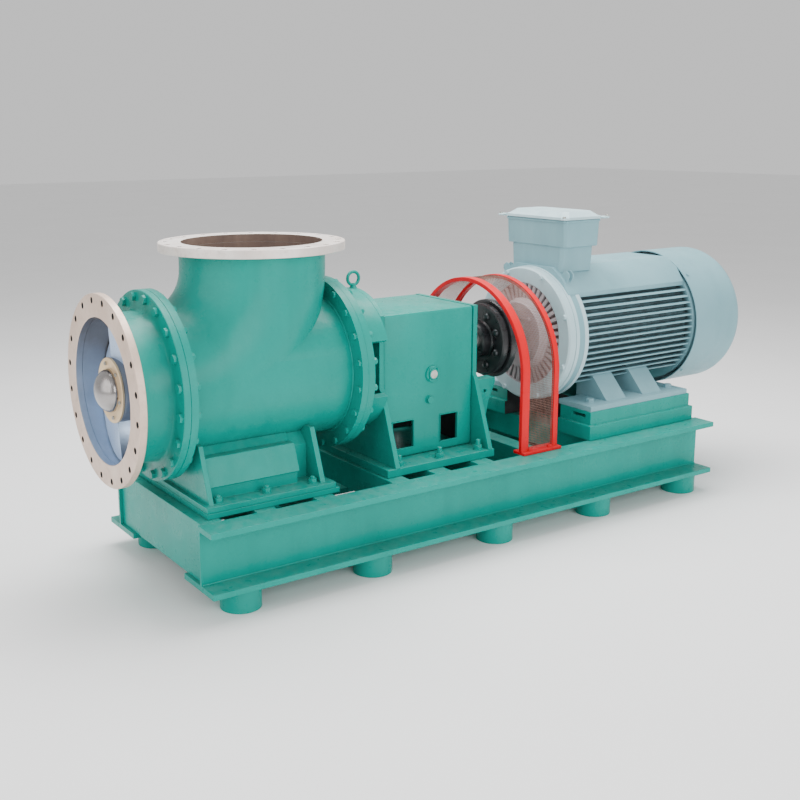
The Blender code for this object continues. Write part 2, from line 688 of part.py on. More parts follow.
def make_guard():
    foot = BASE_TOP + RAIL_HEIGHT + GAP
    arch = guard_outline(GUARD_RADIUS, GUARD_RADIUS - GUARD_BAR_DEPTH, foot)
    finish(plate("guard_front_arch", arch, GUARD_START, GUARD_START + GUARD_FRONT_BAR), RED)
    finish(plate("guard_rear_arch", arch, GUARD_END - GUARD_REAR_BAR, GUARD_END), RED)
    outer = GUARD_RADIUS - MESH_INSET
    skin = guard_outline(outer, outer - MESH_THICKNESS, foot)
    finish(plate("guard_mesh", skin, GUARD_START + GUARD_FRONT_BAR + GAP,
                 GUARD_END - GUARD_REAR_BAR - GAP), MESH_GREY)
    for name, side in (("guard_near_rail", -1), ("guard_far_rail", 1)):
        edges = sorted((side * RAIL_INNER, side * RAIL_OUTER))
        finish(box(name, (GUARD_START, edges[0], BASE_TOP + GAP),
                   (GUARD_END + RAIL_OVERHANG, edges[1], BASE_TOP + RAIL_HEIGHT)), RED,
               smooth=False)


def frame_fins():
    """Flat fins that run through the frame and stand out of both of its sides."""
    step = (FIN_TOP - FIN_BOTTOM) / (FIN_COUNT - 1)
    work = bmesh.new()
    for index in range(FIN_COUNT):
        shift = Matrix.Translation((0.0, 0.0, FIN_TOP - index * step))
        size = Matrix.Diagonal((FRAME_END - FRAME_RING_END, 0.7, FIN_THICKNESS, 1.0))
        bmesh.ops.create_cube(work, size=1.0, matrix=shift @ size)
    fins = add_object("motor_fins", mesh_from(work, "motor_fins"),
                      ((FRAME_RING_END + FRAME_END) / 2 - 0.001, 0.0, 0.0))
    return boolean(fins, rod("motor_fins_round", FIN_REACH, SHIELD_END,
                             FRAME_END + 0.1, 90), 'INTERSECT')


def make_motor():
    bore = MOTOR_SHAFT_RADIUS + BEARING_CLEARANCE
    end = SHIELD_END - GAP
    finish(turned("motor_front_shield", [
        (end, MOTOR_RADIUS), (end - 0.030, MOTOR_RADIUS), (end - 0.036, MOTOR_RADIUS - 0.006),
        (end - 0.036, MOTOR_RADIUS - 0.030), (end - 0.038, 0.152), (MOTOR_FACE + 0.014, 0.136),
        (MOTOR_FACE, 0.120), (MOTOR_FACE, bore), (end, bore)]), MOTOR_GREY)

    frame = turned("motor_frame", [(FRAME_END, 0.0), (FRAME_END, FRAME_CORE_RADIUS),
                                   (FRAME_RING_END, FRAME_CORE_RADIUS),
                                   (FRAME_RING_END, MOTOR_RADIUS), (SHIELD_END, MOTOR_RADIUS),
                                   (SHIELD_END, 0.0)], closed=False)
    boolean(frame, frame_fins(), 'UNION')
    hood = mirrored(HOOD_OUTLINE)
    boolean(frame, plate("motor_frame_hood", hood, HOOD_START, FRAME_END - 0.002), 'UNION')
    for side, sign in (("near", -1), ("far", 1)):
        edges = sorted((sign * MOTOR_FOOT_INNER, sign * MOTOR_FOOT_OUTER))
        boolean(frame, box("motor_foot_" + side, (MOTOR_FEET_START, edges[0], -MOTOR_FOOT_DROP),
                           (MOTOR_FEET_END, edges[1], MOTOR_FOOT_THICKNESS - MOTOR_FOOT_DROP)),
                'UNION')
        sunk = MOTOR_FOOT_THICKNESS / 2 - MOTOR_FOOT_DROP
        rib = [(sign * 0.306, sunk), (sign * 0.226, -0.186), (sign * 0.170, -0.130),
               (sign * 0.120, -0.130), (sign * 0.120, sunk)]
        for index, place in enumerate(FOOT_RIB_PLACES):
            boolean(frame, plate("motor_foot_rib_" + side + "_" + str(index + 1), rib, place,
                                 place + FOOT_RIB_WIDTH), 'UNION')
    finish(frame, MOTOR_GREY)

    start = FRAME_END + GAP
    back = MACHINE_LENGTH - CAP_REACH
    rounding = [(back - COWL_ROUNDING * (1 - math.sin(angle)),
                 COWL_RADIUS - COWL_ROUNDING * (1 - math.cos(angle)))
                for angle in (math.radians(15 * step) for step in range(6, -1, -1))]
    floor = back - COWL_RECESS_DEPTH
    finish(turned("fan_cowl", [(floor, 0.0), (floor, COWL_RECESS_RADIUS),
                               (back, COWL_RECESS_RADIUS)]
                  + rounding + [(start, COWL_RADIUS), (start, 0.0)], closed=False), MOTOR_GREY)

    hood_side = mirrored([(across + GAP, up + GAP) for across, up in HOOD_OUTLINE])
    neck = box("terminal_neck", (NECK_START, -NECK_HALF_WIDTH, 0.235),
               (NECK_END, NECK_HALF_WIDTH, BOX_BOTTOM + 0.020))
    boolean(neck, plate("terminal_neck_seat", hood_side, HOOD_START - 0.1, BOX_END + 0.1),
            'DIFFERENCE')
    boolean(neck, rod("terminal_neck_ring_seat", MOTOR_RADIUS + GAP, BOX_START - 0.1,
                      FRAME_RING_END + GAP, 96), 'DIFFERENCE')
    case = bevel(box("terminal_box", (BOX_START, -BOX_HALF_WIDTH, BOX_BOTTOM),
                     (BOX_END, BOX_HALF_WIDTH, BOX_TOP)), 0.008)
    finish(boolean(case, neck, 'UNION'), MOTOR_GREY)
    wide = BOX_HALF_WIDTH + LID_OVERHANG
    finish(bevel(box("terminal_lid", (BOX_START - LID_OVERHANG, -wide, BOX_TOP + GAP),
                     (BOX_END + LID_OVERHANG, wide, LID_TOP)), 0.007), MOTOR_GREY)


def make_pedestal():
    step = BASE_TOP + PEDESTAL_STEP
    pedestal = box("motor_pedestal", (PEDESTAL_START, -PEDESTAL_HALF_WIDTH, BASE_TOP + GAP),
                   (PEDESTAL_END, PEDESTAL_HALF_WIDTH, step))
    front = PEDESTAL_START + PEDESTAL_STEP_INSET
    width = PEDESTAL_HALF_WIDTH - PEDESTAL_STEP_INSET
    boolean(pedestal, box("motor_pedestal_top", (front, -width, step - 0.020),
                          (PEDESTAL_END - 0.010, width, -MOTOR_FOOT_DROP - GAP)), 'UNION')
    notch = PEDESTAL_NOTCH_HALF_WIDTH
    boolean(pedestal, box("motor_pedestal_notch", (PEDESTAL_START - 0.01, -notch, BASE_TOP - 0.01),
                          (PEDESTAL_NOTCH_END, notch, 0.01 - MOTOR_FOOT_DROP)), 'DIFFERENCE')
    inner, outer, low, high = PEDESTAL_SLOT
    for side in (-1, 1):
        edges = sorted((side * inner, side * outer))
        boolean(pedestal, box("motor_pedestal_slot_" + str(side), (front - 0.01, edges[0], low),
                              (front + PEDESTAL_SLOT_DEPTH, edges[1], high)), 'DIFFERENCE')
    finish(pedestal, GREEN, smooth=False)


def make_base():
    top_inner = BASE_HALF_WIDTH - TOP_FLANGE_WIDTH
    web_outer = top_inner + WEB_THICKNESS
    bottom_inner = BASE_HALF_WIDTH - BOTTOM_FLANGE_WIDTH
    under_top = BASE_TOP - PLATE_THICKNESS
    over_bottom = BASE_BOTTOM + PLATE_THICKNESS
    section = [(BASE_HALF_WIDTH, BASE_TOP), (BASE_HALF_WIDTH, under_top), (web_outer, under_top),
               (web_outer, over_bottom), (BASE_HALF_WIDTH, over_bottom),
               (BASE_HALF_WIDTH, BASE_BOTTOM), (bottom_inner, BASE_BOTTOM),
               (bottom_inner, over_bottom), (top_inner, over_bottom), (top_inner, BASE_TOP)]
    for name, side in (("near", -1), ("far", 1)):
        outline = [(side * across, up) for across, up in section]
        girder = plate("girder_" + name, outline, BASE_START, BASE_END)
        for index, place in enumerate(STUB_PLACES):
            stub = post("stub_" + name + "_" + str(index + 1), STUB_RADIUS,
                        (place, side * (BASE_HALF_WIDTH - STUB_INSET)), -SHAFT_HEIGHT,
                        BASE_BOTTOM + 0.004)
            boolean(girder, stub, 'UNION')
        finish(girder, GREEN)

    half = top_inner - GAP
    low = over_bottom + GAP
    for name, outer, inward in (("end_channel_front", BASE_START + CHANNEL_INSET, 1),
                                ("end_channel_rear", BASE_END - CHANNEL_INSET, -1)):
        inner = outer + inward * WEB_THICKNESS
        reach = outer + inward * CHANNEL_REACH
        channel = [(outer, BASE_TOP), (reach, BASE_TOP), (reach, BASE_TOP - WEB_THICKNESS),
                   (inner, BASE_TOP - WEB_THICKNESS), (inner, low + WEB_THICKNESS),
                   (reach, low + WEB_THICKNESS), (reach, low), (outer, low)]
        finish(plate(name, channel, -half, half, ALONG), GREEN)

    for index, place in enumerate(CROSS_PLACES):
        finish(box("cross_member_" + str(index + 1),
                   (place - CROSS_WIDTH / 2, -half, BASE_TOP - CROSS_DEPTH),
                   (place + CROSS_WIDTH / 2, half, BASE_TOP)), GREEN, smooth=False)


clear_scene()
parts = make_collection("forced_circulation_pump")
tools = make_collection("cutting_and_joining_bodies")
datum = bpy.data.objects.new("shaft_datum", None)
parts.objects.link(datum)
datum.location = (CAP_REACH - MACHINE_LENGTH / 2, 0.0, SHAFT_HEIGHT)

make_flanges()
make_spool()
make_casing()
make_pump_foot()
cover_face = make_rear_cover()
make_lantern(cover_face)
make_bearing_housing()
make_eyebolt()
make_rotor()
make_guard()
make_motor()
make_pedestal()
make_base()
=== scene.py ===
import math

import bmesh
import bpy
import numpy as np
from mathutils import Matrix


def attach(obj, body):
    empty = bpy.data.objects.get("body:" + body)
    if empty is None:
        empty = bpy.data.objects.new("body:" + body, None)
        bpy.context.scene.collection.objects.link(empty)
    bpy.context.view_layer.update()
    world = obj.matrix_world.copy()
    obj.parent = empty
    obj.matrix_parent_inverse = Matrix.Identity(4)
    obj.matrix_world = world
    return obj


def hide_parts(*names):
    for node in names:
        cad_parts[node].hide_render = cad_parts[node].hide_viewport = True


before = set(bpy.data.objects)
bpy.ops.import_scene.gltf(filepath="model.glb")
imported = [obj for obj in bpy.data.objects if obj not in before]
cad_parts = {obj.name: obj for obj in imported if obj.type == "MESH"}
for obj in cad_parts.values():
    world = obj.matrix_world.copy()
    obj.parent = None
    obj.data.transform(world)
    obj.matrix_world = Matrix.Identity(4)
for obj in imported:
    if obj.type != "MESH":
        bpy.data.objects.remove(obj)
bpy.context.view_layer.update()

# Every number below is counted from the middle of the suction face, on the shaft line:
# x along the shaft towards the motor, y away from the camera side, z up. All in metres.
shaftLine = np.array([-1.4275, 0.0, 0.700])
turn = math.tau


def named(values, names):
    return [values[name] for name in names.split()]


def gridFaces(rows, columns, ring=False):
    # quads between neighbouring points of a grid. Each row is closed, and where it is a ring
    # the last row joins the first
    a, b = np.meshgrid(np.arange(rows if ring else rows - 1), np.arange(columns), indexing="ij")
    a2, b2 = (a + 1) % rows, (b + 1) % columns
    quads = np.stack([a * columns + b, a * columns + b2, a2 * columns + b2, a2 * columns + b], -1)
    return quads.reshape(-1, 4).tolist()


def shellOf(points, ring=False):
    # rows of points as one surface: a ring, or a tube with flat caps on its two ends
    rows, columns = points.shape[:2]
    last = (rows - 1) * columns
    caps = [] if ring else [list(range(columns)), list(range(last, last + columns))]
    return points.reshape(-1, 3), gridFaces(rows, columns, ring) + caps


def evenAngles(count, start=0.5):
    # whole turn shared out, counted from the top towards the far side
    return turn * (np.arange(count) + start) / count


def turned(profile, sides=96, ring=True):
    # lathe work: point (x, r) of the profile goes round the shaft line,
    # position = (x, r sin t, r cos t) for t from 0 to a whole turn
    x, r = np.array(profile, float).T[:, :, None] * np.ones(sides)
    t = evenAngles(sides, 0)
    return shellOf(np.stack([x, r * np.sin(t), r * np.cos(t)], -1), ring)


def extruded(outline, start, end, radial=False):
    # a flat outline moved along the shaft, or across it where its own first way is outwards:
    # the ring at start, the ring at end and two caps
    a, b = np.array(outline, float).T[:, None] * np.ones((2, 1))
    ends = np.array([[start], [end]]) * np.ones(len(outline))
    return shellOf(np.stack((b, ends, a) if radial else (ends, a, b), -1))


def roundedBox(low, high, radius, steps=3):
    # a small ball pulled apart: each eighth of the ball keeps its own corner,
    # position = centre + sign * (half size - radius) + radius * ball direction
    low, high = np.array(low, float), np.array(high, float)
    middle, half = (low + high) / 2, (high - low) / 2
    radius = min(radius, half.min() * 0.98)
    quarter = np.linspace(0, turn / 4, steps + 1)
    around = np.concatenate([quarter + k * turn / 4 for k in range(4)])
    upDown = np.concatenate([quarter - turn / 4, quarter])
    signX, signY, signZ = (np.repeat(signs, steps + 1)
                           for signs in ([1, -1, -1, 1], [1, 1, -1, -1], [-1, 1]))
    u, v = np.meshgrid(upDown, around, indexing="ij")
    ball = np.stack([np.cos(u) * np.cos(v), np.cos(u) * np.sin(v), np.sin(u)], -1)
    signs = np.stack(np.broadcast_arrays(signX[None, :], signY[None, :], signZ[:, None]), -1)
    return shellOf(middle + signs * (half - radius) + radius * ball)


def sweptTube(path, radius, sides=8, closed=True, side=(0, 1, 0)):
    # a round section carried along a path. Two directions square to the path carry the
    # circle: point = path + r (cos t * first + sin t * second)
    path = np.array(path, float)
    ahead = np.roll(path, -1, 0) - np.roll(path, 1, 0)
    if not closed:
        ahead[0], ahead[-1] = path[1] - path[0], path[-1] - path[-2]
    ahead /= np.linalg.norm(ahead, axis=1)[:, None]
    first = np.cross(ahead, np.array(side, float))
    first /= np.linalg.norm(first, axis=1)[:, None]
    second = np.cross(ahead, first)
    t = evenAngles(sides, 0)[:, None]
    r = np.broadcast_to(radius, len(path))[:, None, None]
    return shellOf(path[:, None] + r * (np.cos(t) * first[:, None] + np.sin(t) * second[:, None]), closed)


def aroundShaft(x, radius, angles, height=0.0):
    # points of a circle square to the shaft: (x, r sin a, height + r cos a)
    return np.stack([np.full(len(angles), float(x)), radius * np.sin(angles),
                     height + radius * np.cos(angles)], -1)


def circlePath(x, radius, steps):
    return aroundShaft(x, radius, evenAngles(steps, 0))


def line(a, b, steps):
    return np.linspace(np.array(a, float), np.array(b, float), steps)


def moved(shell, offset, matrix):
    # turned by the matrix first, then carried to its place
    points, faces = shell
    return points @ matrix.T + np.array(offset), faces


def copies(shell, offsets, matrices):
    # the same shell at many places: copy k = matrix k * points + offset k
    points, faces = shell
    offsets, matrices = np.array(offsets, float), np.array(matrices, float)
    every = np.einsum("kij,nj->kni", matrices, points) + offsets[:, None]
    count = len(points)
    allFaces = [[i + k * count for i in face] for k in range(len(offsets)) for face in faces]
    return every.reshape(-1, 3), allFaces


def joined(*shells):
    points, faces, offset = [], [], 0
    for shellPoints, shellFaces in shells:
        points.append(shellPoints)
        faces += [[i + offset for i in face] for face in shellFaces]
        offset += len(shellPoints)
    return np.concatenate(points), faces


def rollMatrix(angle, flip=False):
    # turns about the shaft line; flip points the piece the other way along it
    c, s = math.cos(angle), math.sin(angle)
    matrix = np.array([[1, 0, 0], [0, c, s], [0, -s, c]])
    return matrix @ np.diag([-1, -1, 1]) if flip else matrix


def rolled(shell, count):
    # the same shell at even steps round the shaft line
    return copies(shell, np.zeros((count, 3)), [rollMatrix(a) for a in evenAngles(count, 0)])


facing = {  # where a fastener's outer end points
    "-x": np.diag([-1.0, -1.0, 1.0]),
    "+y": np.array([[0, -1, 0], [1, 0, 0], [0, 0, 1.0]]),
    "-y": np.array([[0, 1, 0], [-1, 0, 0], [0, 0, 1.0]]),
    "+z": np.array([[0, 0, -1], [0, 1, 0], [1, 0, 0.0]]),
}
upright = np.array([[0, 0, 1], [0, 1, 0], [1, 0, 0.0]])  # from the shaft's way to the neck's


def fastener(size, stud=0.0, washer=True):
    # a washer, a hexagon with its corners turned off, and the stud's end where it is a nut.
    # The hexagon's radius at angle t is flat / cos(t to the nearest flat)
    flat, height = size * 0.75, size * (0.8 if stud else 0.63)
    base, shells = 0.0, []
    if washer:
        base = size * 0.15
        shells.append(turned([(base, size * 0.5), (base, size * 0.93), (base * 0.8, size * 0.95),
                              (0, size * 0.95), (0, size * 0.5)], 20))
    t = evenAngles(24, 0)
    hexagon = flat / np.cos((t + turn / 12) % (turn / 6) - turn / 12)
    cone = np.array([0.999, 1.06, 9, 9, 1.06 if stud else 9])[:, None] * flat
    r = np.minimum(hexagon[None, :], cone)
    x = base + height * np.array([1, 0.88, 0.8, 0.2, 0])[:, None] * np.ones(24)
    shells.append(shellOf(np.stack([x, r * np.sin(t), r * np.cos(t)], -1)))
    if stud:
        tip = base + height + stud
        shells.append(turned([(tip, size * 0.34), (tip - size * 0.1, size * 0.47),
                              (base + height * 0.5, size * 0.47)], 16, False))
    return joined(*shells)


def fastenerRing(size, x, radius, count, towards, seed, stud=0.0, washer=True):
    # fasteners on a circle about the shaft line, each with a turn of its own
    own = np.random.default_rng(seed).uniform(0, turn / 6, count)
    return copies(fastener(size, stud, washer), aroundShaft(x, radius, evenAngles(count)),
                  [rollMatrix(a, towards < 0) for a in own])


def fastenersAt(size, places, towards="+z", seed=2, stud=0.0, washer=True):
    own = np.random.default_rng(seed).uniform(0, turn / 6, len(places))
    return copies(fastener(size, stud, washer), places,
                  [facing[towards] @ rollMatrix(a) for a in own])


def weldBead(path, radius, seed, closed=True):
    # a bead along a path whose radius ripples as the welder's weave does, 6 mm a ripple
    along = np.concatenate([[0], np.cumsum(np.linalg.norm(np.diff(path, axis=0), axis=1))])
    noise = np.random.default_rng(seed).normal(0, 0.05, len(path))
    ripple = radius * (1 + 0.10 * np.sin(along * turn / 0.006) + noise)
    return sweptTube(path, ripple, 6, closed, (1, 0, 0) if closed else (0, 0, 1))


def cornersOf(mesh):
    flat = np.empty(len(mesh.vertices) * 3)
    mesh.vertices.foreach_get("co", flat)
    return flat.reshape(-1, 3)


def cleanMesh(name, points, faces, merge, flatAngle=0.0):
    # doubles merged, flat parts made one face where asked, and every face turned outwards
    mesh = bpy.data.meshes.new(name)
    mesh.from_pydata(points.tolist(), [], faces)
    work = bmesh.new()
    work.from_mesh(mesh)
    bmesh.ops.remove_doubles(work, verts=work.verts, dist=merge)
    if flatAngle:
        bmesh.ops.dissolve_limit(work, angle_limit=math.radians(flatAngle), verts=work.verts,
                                 edges=work.edges)
    else:
        bmesh.ops.dissolve_degenerate(work, edges=work.edges, dist=1e-7)
    bmesh.ops.recalc_face_normals(work, faces=work.faces)
    work.to_mesh(mesh)
    work.free()
    return mesh


def addPiece(name, mesh, material, replaced, body, bevel, sharp):
    # green paint is what most pieces wear
    materials = material if isinstance(material, list) else [material or greenEnamel]
    for one in materials:
        mesh.materials.append(one)
    mesh.shade_smooth()
    mesh.set_sharp_from_angle(angle=math.radians(sharp))
    piece = bpy.data.objects.new(name, mesh)
    bpy.context.scene.collection.objects.link(piece)
    if bevel:
        step = piece.modifiers.new("edges", "BEVEL")
        step.width, step.segments = bevel, 2
        step.limit_method, step.angle_limit = "ANGLE", math.radians(sharp)
        step.harden_normals = True
    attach(piece, body)
    if replaced:
        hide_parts(replaced)
    return piece


def makePiece(name, shell, material=None, replaced="", body="machine", bevel=0.0, sharp=35.0):
    mesh = cleanMesh(name, shell[0] + shaftLine, shell[1], 2e-6)
    return addPiece(name, mesh, material, replaced, body, bevel, sharp)


def dressNode(node, bevel=0.002, material=None, body="machine", sharp=32.0, inner=None):
    # a merged copy of a CAD node, so that its edges can be rounded and its sides shaded
    # smooth. inner says which corners belong to the second material
    source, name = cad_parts[node].data, "dressed_" + node
    mesh = cleanMesh(name, cornersOf(source), [list(p.vertices) for p in source.polygons], 1e-5, 0.5)
    piece = addPiece(name, mesh, material, node, body, bevel, sharp)
    if inner:
        paintFaces(piece, inner)


def paintFaces(piece, test, index=1):
    # the material of this index goes on the faces whose corners all pass the test
    faces = piece.data.polygons
    passed = test(cornersOf(piece.data) - shaftLine)
    faces.foreach_set("material_index", [index if all(passed[i] for i in face.vertices)
                                         else face.material_index for face in faces])


def fromShaft(p):
    return np.hypot(p[:, 1], p[:, 2])


class Nodes:
    # a short way to write a node tree: each call adds a node and returns what comes out of it
    def __init__(self, name):
        self.material = bpy.data.materials.new(name)
        self.material.use_nodes = True
        self.tree = self.material.node_tree
        self.place = self.add("ShaderNodeTexCoord")["Object"]

    def fill(self, node, inputs):
        # another node's output is linked to the socket, a number is written into it
        for socket, value in inputs.items():
            if isinstance(value, bpy.types.NodeSocket):
                self.tree.links.new(value, node.inputs[socket])
            elif value is not None:
                node.inputs[socket].default_value = value
        return node.outputs

    def add(self, kind, inputs=None, **settings):
        node = self.tree.nodes.new(kind)
        for key, value in settings.items():
            setattr(node, key, value)
        return self.fill(node, inputs or {})

    def stretched(self, scale):
        return self.add("ShaderNodeMapping", {"Vector": self.place, "Scale": scale})["Vector"]

    def noise(self, scale, detail=3.0, rough=0.5, place=None):
        return self.add("ShaderNodeTexNoise", {"Vector": place or self.place, "Scale": scale,
                                               "Detail": detail, "Roughness": rough})["Fac"]

    def cells(self, scale):
        return self.add("ShaderNodeTexVoronoi", {"Vector": self.place, "Scale": scale})["Distance"]

    def ramp(self, value, low, high, start=0.0, end=1.0):
        return self.add("ShaderNodeMapRange", {"Value": value, "From Min": low, "From Max": high,
                                               "To Min": start, "To Max": end})["Result"]

    def math(self, how, a, b=0.0):
        return self.add("ShaderNodeMath", {0: a, 1: b}, operation=how)[0]

    def times(self, a, b):
        return self.math("MULTIPLY", a, b)

    def length(self, a, b):
        return self.math("SQRT", self.math("ADD", self.times(a, a), self.times(b, b)))

    def mix(self, amount, a, b):
        a, b = ((*tone, 1.0) if isinstance(tone, tuple) else tone for tone in (a, b))
        return self.add("ShaderNodeMix", {"Factor": amount, 6: a, 7: b}, data_type="RGBA")[2]

    def axes(self, place=None):
        return self.add("ShaderNodeSeparateXYZ", {0: place or self.place})

    def bump(self, height, distance, strength=1.0, below=None):
        return self.add("ShaderNodeBump", {"Height": height, "Distance": distance,
                                           "Strength": strength, "Normal": below})["Normal"]

    def finish(self, colour, roughness, normal, **fixed):
        self.fill(self.tree.nodes["Principled BSDF"],
                  {"Base Color": colour, "Roughness": roughness, "Normal": normal}
                  | {socket.replace("_", " "): value for socket, value in fixed.items()})
        return self.material


def sprayPaint(name, colours, gloss, dust, shine=0.12, castScale=0.0, peel=0.0003, paintedFinShade=None):
    # brushed or sprayed enamel: slow shade changes, faint runs, settled dust on faces that
    # look up, orange peel, and small specks where it has worn thin
    colour, pale, dark = colours
    n = Nodes(name)
    slow = n.ramp(n.noise(2.3, 4, 0.6), 0.35, 0.68)
    runs = n.ramp(n.noise(9, 3, 0.6, n.stretched((1, 1, 0.18))), 0.45, 0.78)
    base = n.mix(n.times(slow, 0.5), colour, pale)
    base = n.mix(n.times(runs, 0.35), base, dark)
    up = n.add("ShaderNodeNewGeometry")["Normal"]
    facingUp = n.ramp(n.axes(up)[2], 0.55, 1.0)
    dustNoise = n.ramp(n.noise(34, 5, 0.7), 0.38, 0.75)
    dustAmount = n.times(n.times(facingUp, dustNoise), dust)
    base = n.mix(dustAmount, base, (0.46, 0.52, 0.49))
    specks = n.ramp(n.noise(190, 2, 0.5), 0.745, 0.77)
    chips = n.times(specks, n.ramp(n.noise(7, 2), 0.54, 0.66))
    base = n.mix(n.times(chips, 0.4), base, dark)
    if paintedFinShade:  # painted shade that darkens the paint deep between the fins
        x, y, z = n.axes()[:3]
        height = n.math("SUBTRACT", z, shaftLine[2])
        radius = n.length(y, height)
        # painted shade: darker where the radius is small, between the fins, above the frame's underside
        finShadeMask = n.times(n.ramp(radius, *paintedFinShade), n.ramp(height, -0.20, -0.18))
        finShadeMask = n.times(finShadeMask, n.ramp(n.noise(22, 4, 0.6), 0.25, 0.6, 0.62, 0.90))
        base = n.mix(finShadeMask, base, (0.048, 0.064, 0.070))
    rough = n.math("ADD", n.ramp(n.noise(26, 4, 0.6), 0.3, 0.7, gloss - 0.05, gloss + 0.10),
                   n.times(dustAmount, 0.5))
    normal = n.bump(n.noise(420, 2, 0.5), peel, 0.8)
    normal = n.bump(n.noise(16, 3, 0.5), 0.0012, 0.5, normal)
    if castScale:  # sand casting skin under the paint
        normal = n.bump(n.cells(castScale), 0.0008, 0.7, normal)
    return n.finish(base, rough, normal, Specular_IOR_Level=shine)


def turnedSteel(name, colour, warm, rough, grooves, metal=1.0, neck=None):
    # bare steel off the lathe: fine rings about the shaft or the neck, heat and finger tints
    n = Nodes(name)
    x, y, z = n.axes()[:3]
    across = n.math("SUBTRACT", x, shaftLine[0] + neck) if neck else n.math("SUBTRACT", z, shaftLine[2])
    radius = n.length(y, across)
    rings = n.math("SINE", n.math("ADD", n.times(radius, grooves), n.times(n.noise(11, 2), 9.0)))
    tint = n.ramp(n.noise(5.5, 5, 0.65), 0.36, 0.70)
    stain = n.ramp(n.noise(38, 4, 0.7), 0.52, 0.80)
    base = n.mix(tint, colour, warm)
    base = n.mix(n.times(stain, 0.30), base, (0.24, 0.19, 0.15))
    roughness = n.ramp(n.noise(19, 4, 0.6), 0.3, 0.7, rough - 0.06, rough + 0.14)
    normal = n.bump(rings, 0.00012, 0.5)
    normal = n.bump(n.noise(90, 3, 0.6), 0.0003, 0.4, normal)
    return n.finish(base, roughness, normal, Metallic=metal)


def mottled(name, blotch, span, colours, grain, bump, rough, **fixed):
    # two tones in blotches with a fine grain; blotch and grain are scale, detail, roughness
    n = Nodes(name)
    amount = n.ramp(n.noise(*blotch), *span)
    normal = n.bump(n.noise(*grain), *bump)
    return n.finish(n.mix(amount, *colours), n.ramp(amount, 0, 1, *rough), normal, **fixed)


def barePassage():
    # unpainted inside of the casing: brown oxide with darker drips
    n = Nodes("bare_passage_wall")
    patches = n.ramp(n.noise(7, 6, 0.65), 0.35, 0.70)
    base = n.mix(patches, (0.150, 0.098, 0.078), (0.245, 0.170, 0.135))
    drips = n.ramp(n.noise(14, 4, 0.6, n.stretched((1, 1, 0.2))), 0.5, 0.78)
    base = n.mix(n.times(drips, 0.6), base, (0.075, 0.052, 0.045))
    normal = n.bump(n.noise(150, 4, 0.6), 0.0009, 0.7)
    return n.finish(base, n.ramp(patches, 0, 1, 0.62, 0.80), normal, Metallic=0.25)


def boredWall():
    # bored wall of the inlet: blue grey metal, with painted shade that darkens it towards its top and its
    # depth
    n = Nodes("bored_spool_steel")
    x, y, z = n.axes()[:3]
    height = n.math("SUBTRACT", z, shaftLine[2])
    depth = n.times(n.math("SUBTRACT", x, shaftLine[0]), 0.6)
    patches = n.math("ADD", n.math("ADD", height, depth), n.times(n.noise(7, 4, 0.6), 0.16))
    # painted shade: dark brownish grey towards the top of the bore and further in
    wallShade = n.times(n.ramp(patches, 0.00, 0.26), 0.92)
    cloud = n.ramp(n.noise(10, 4, 0.6), 0.35, 0.7)
    base = n.mix(wallShade, n.mix(cloud, (0.39, 0.52, 0.70), (0.49, 0.61, 0.78)), (0.165, 0.145, 0.135))
    marks = n.noise(140, 3, 0.6, n.stretched((1, 0.2, 0.2)))
    return n.finish(base, n.ramp(marks, 0.3, 0.7, 0.30, 0.46), n.bump(marks, 0.0003, 0.5), Metallic=0.7)


def bladeMetal():
    # ground and polished casting, cloudy, with long grinding marks
    n = Nodes("ground_blade_metal")
    marks = n.noise(160, 3, 0.6, n.stretched((0.15, 1, 1)))
    cloud = n.ramp(n.noise(9, 4, 0.6), 0.35, 0.7)
    base = n.mix(cloud, (0.41, 0.54, 0.75), (0.52, 0.65, 0.85))
    normal = n.bump(marks, 0.0004, 0.6)
    return n.finish(base, n.ramp(marks, 0.3, 0.7, 0.26, 0.44), normal, Metallic=0.35)


def blackIron():
    # oily black coupling: cast skin, grease bloom and rubbed high spots
    n = Nodes("oily_black_iron")
    bloom = n.ramp(n.noise(14, 5, 0.65), 0.40, 0.75)
    base = n.mix(bloom, (0.010, 0.011, 0.013), (0.030, 0.033, 0.036))
    rubbed = n.ramp(n.noise(110, 3, 0.6), 0.62, 0.78)
    base = n.mix(n.times(rubbed, 0.35), base, (0.11, 0.11, 0.11))
    normal = n.bump(n.cells(300), 0.0006, 0.6)
    return n.finish(base, n.ramp(bloom, 0, 1, 0.26, 0.50), normal, Coat_Weight=0.2, Coat_Roughness=0.2)


print("materials")
neckAxis = 0.568  # how far the neck's axis lies behind the suction face
paints = {  # base, pale and dark
    "green": ((0.000, 0.250, 0.203), (0.002, 0.305, 0.255), (0.000, 0.160, 0.130)),
    "grey": ((0.185, 0.360, 0.405), (0.262, 0.450, 0.500), (0.115, 0.245, 0.285)),
    "pale": ((0.430, 0.600, 0.645), (0.520, 0.680, 0.720), (0.185, 0.360, 0.405)),
    "red": ((0.640, 0.004, 0.012), (0.700, 0.016, 0.024), (0.400, 0.002, 0.006)),
    "pink": ((0.390, 0.350, 0.365), (0.480, 0.440, 0.455), (0.280, 0.245, 0.255)),
    "primer": ((0.270, 0.180, 0.176), (0.350, 0.245, 0.240), (0.170, 0.105, 0.100)),
}
greenEnamel = sprayPaint("green_enamel", paints["green"], 0.28, 0.16, 0.16)
motorEnamel = sprayPaint("motor_enamel", paints["grey"], 0.42, 0.08, 0.3, 380.0)
# grey enamel with painted shade deep between the fins
shadedFinEnamel = sprayPaint("motor_enamel_with_painted_fin_shade", paints["grey"], 0.42, 0.08, 0.3, 380.0,
                       paintedFinShade=(0.268, 0.244))
paleEnamel = sprayPaint("pale_motor_enamel", paints["pale"], 0.36, 0.22, 0.4, 380.0)
redEnamel = sprayPaint("red_enamel", paints["red"], 0.30, 0.06)
shieldEnamel = sprayPaint("pinkish_shield_enamel", paints["pink"], 0.42, 0.15, 0.3, 380.0)
pocketPrimer = sprayPaint("reddish_brown_primer", paints["primer"], 0.60, 0.10, 0.15, 300.0, 0.0004)

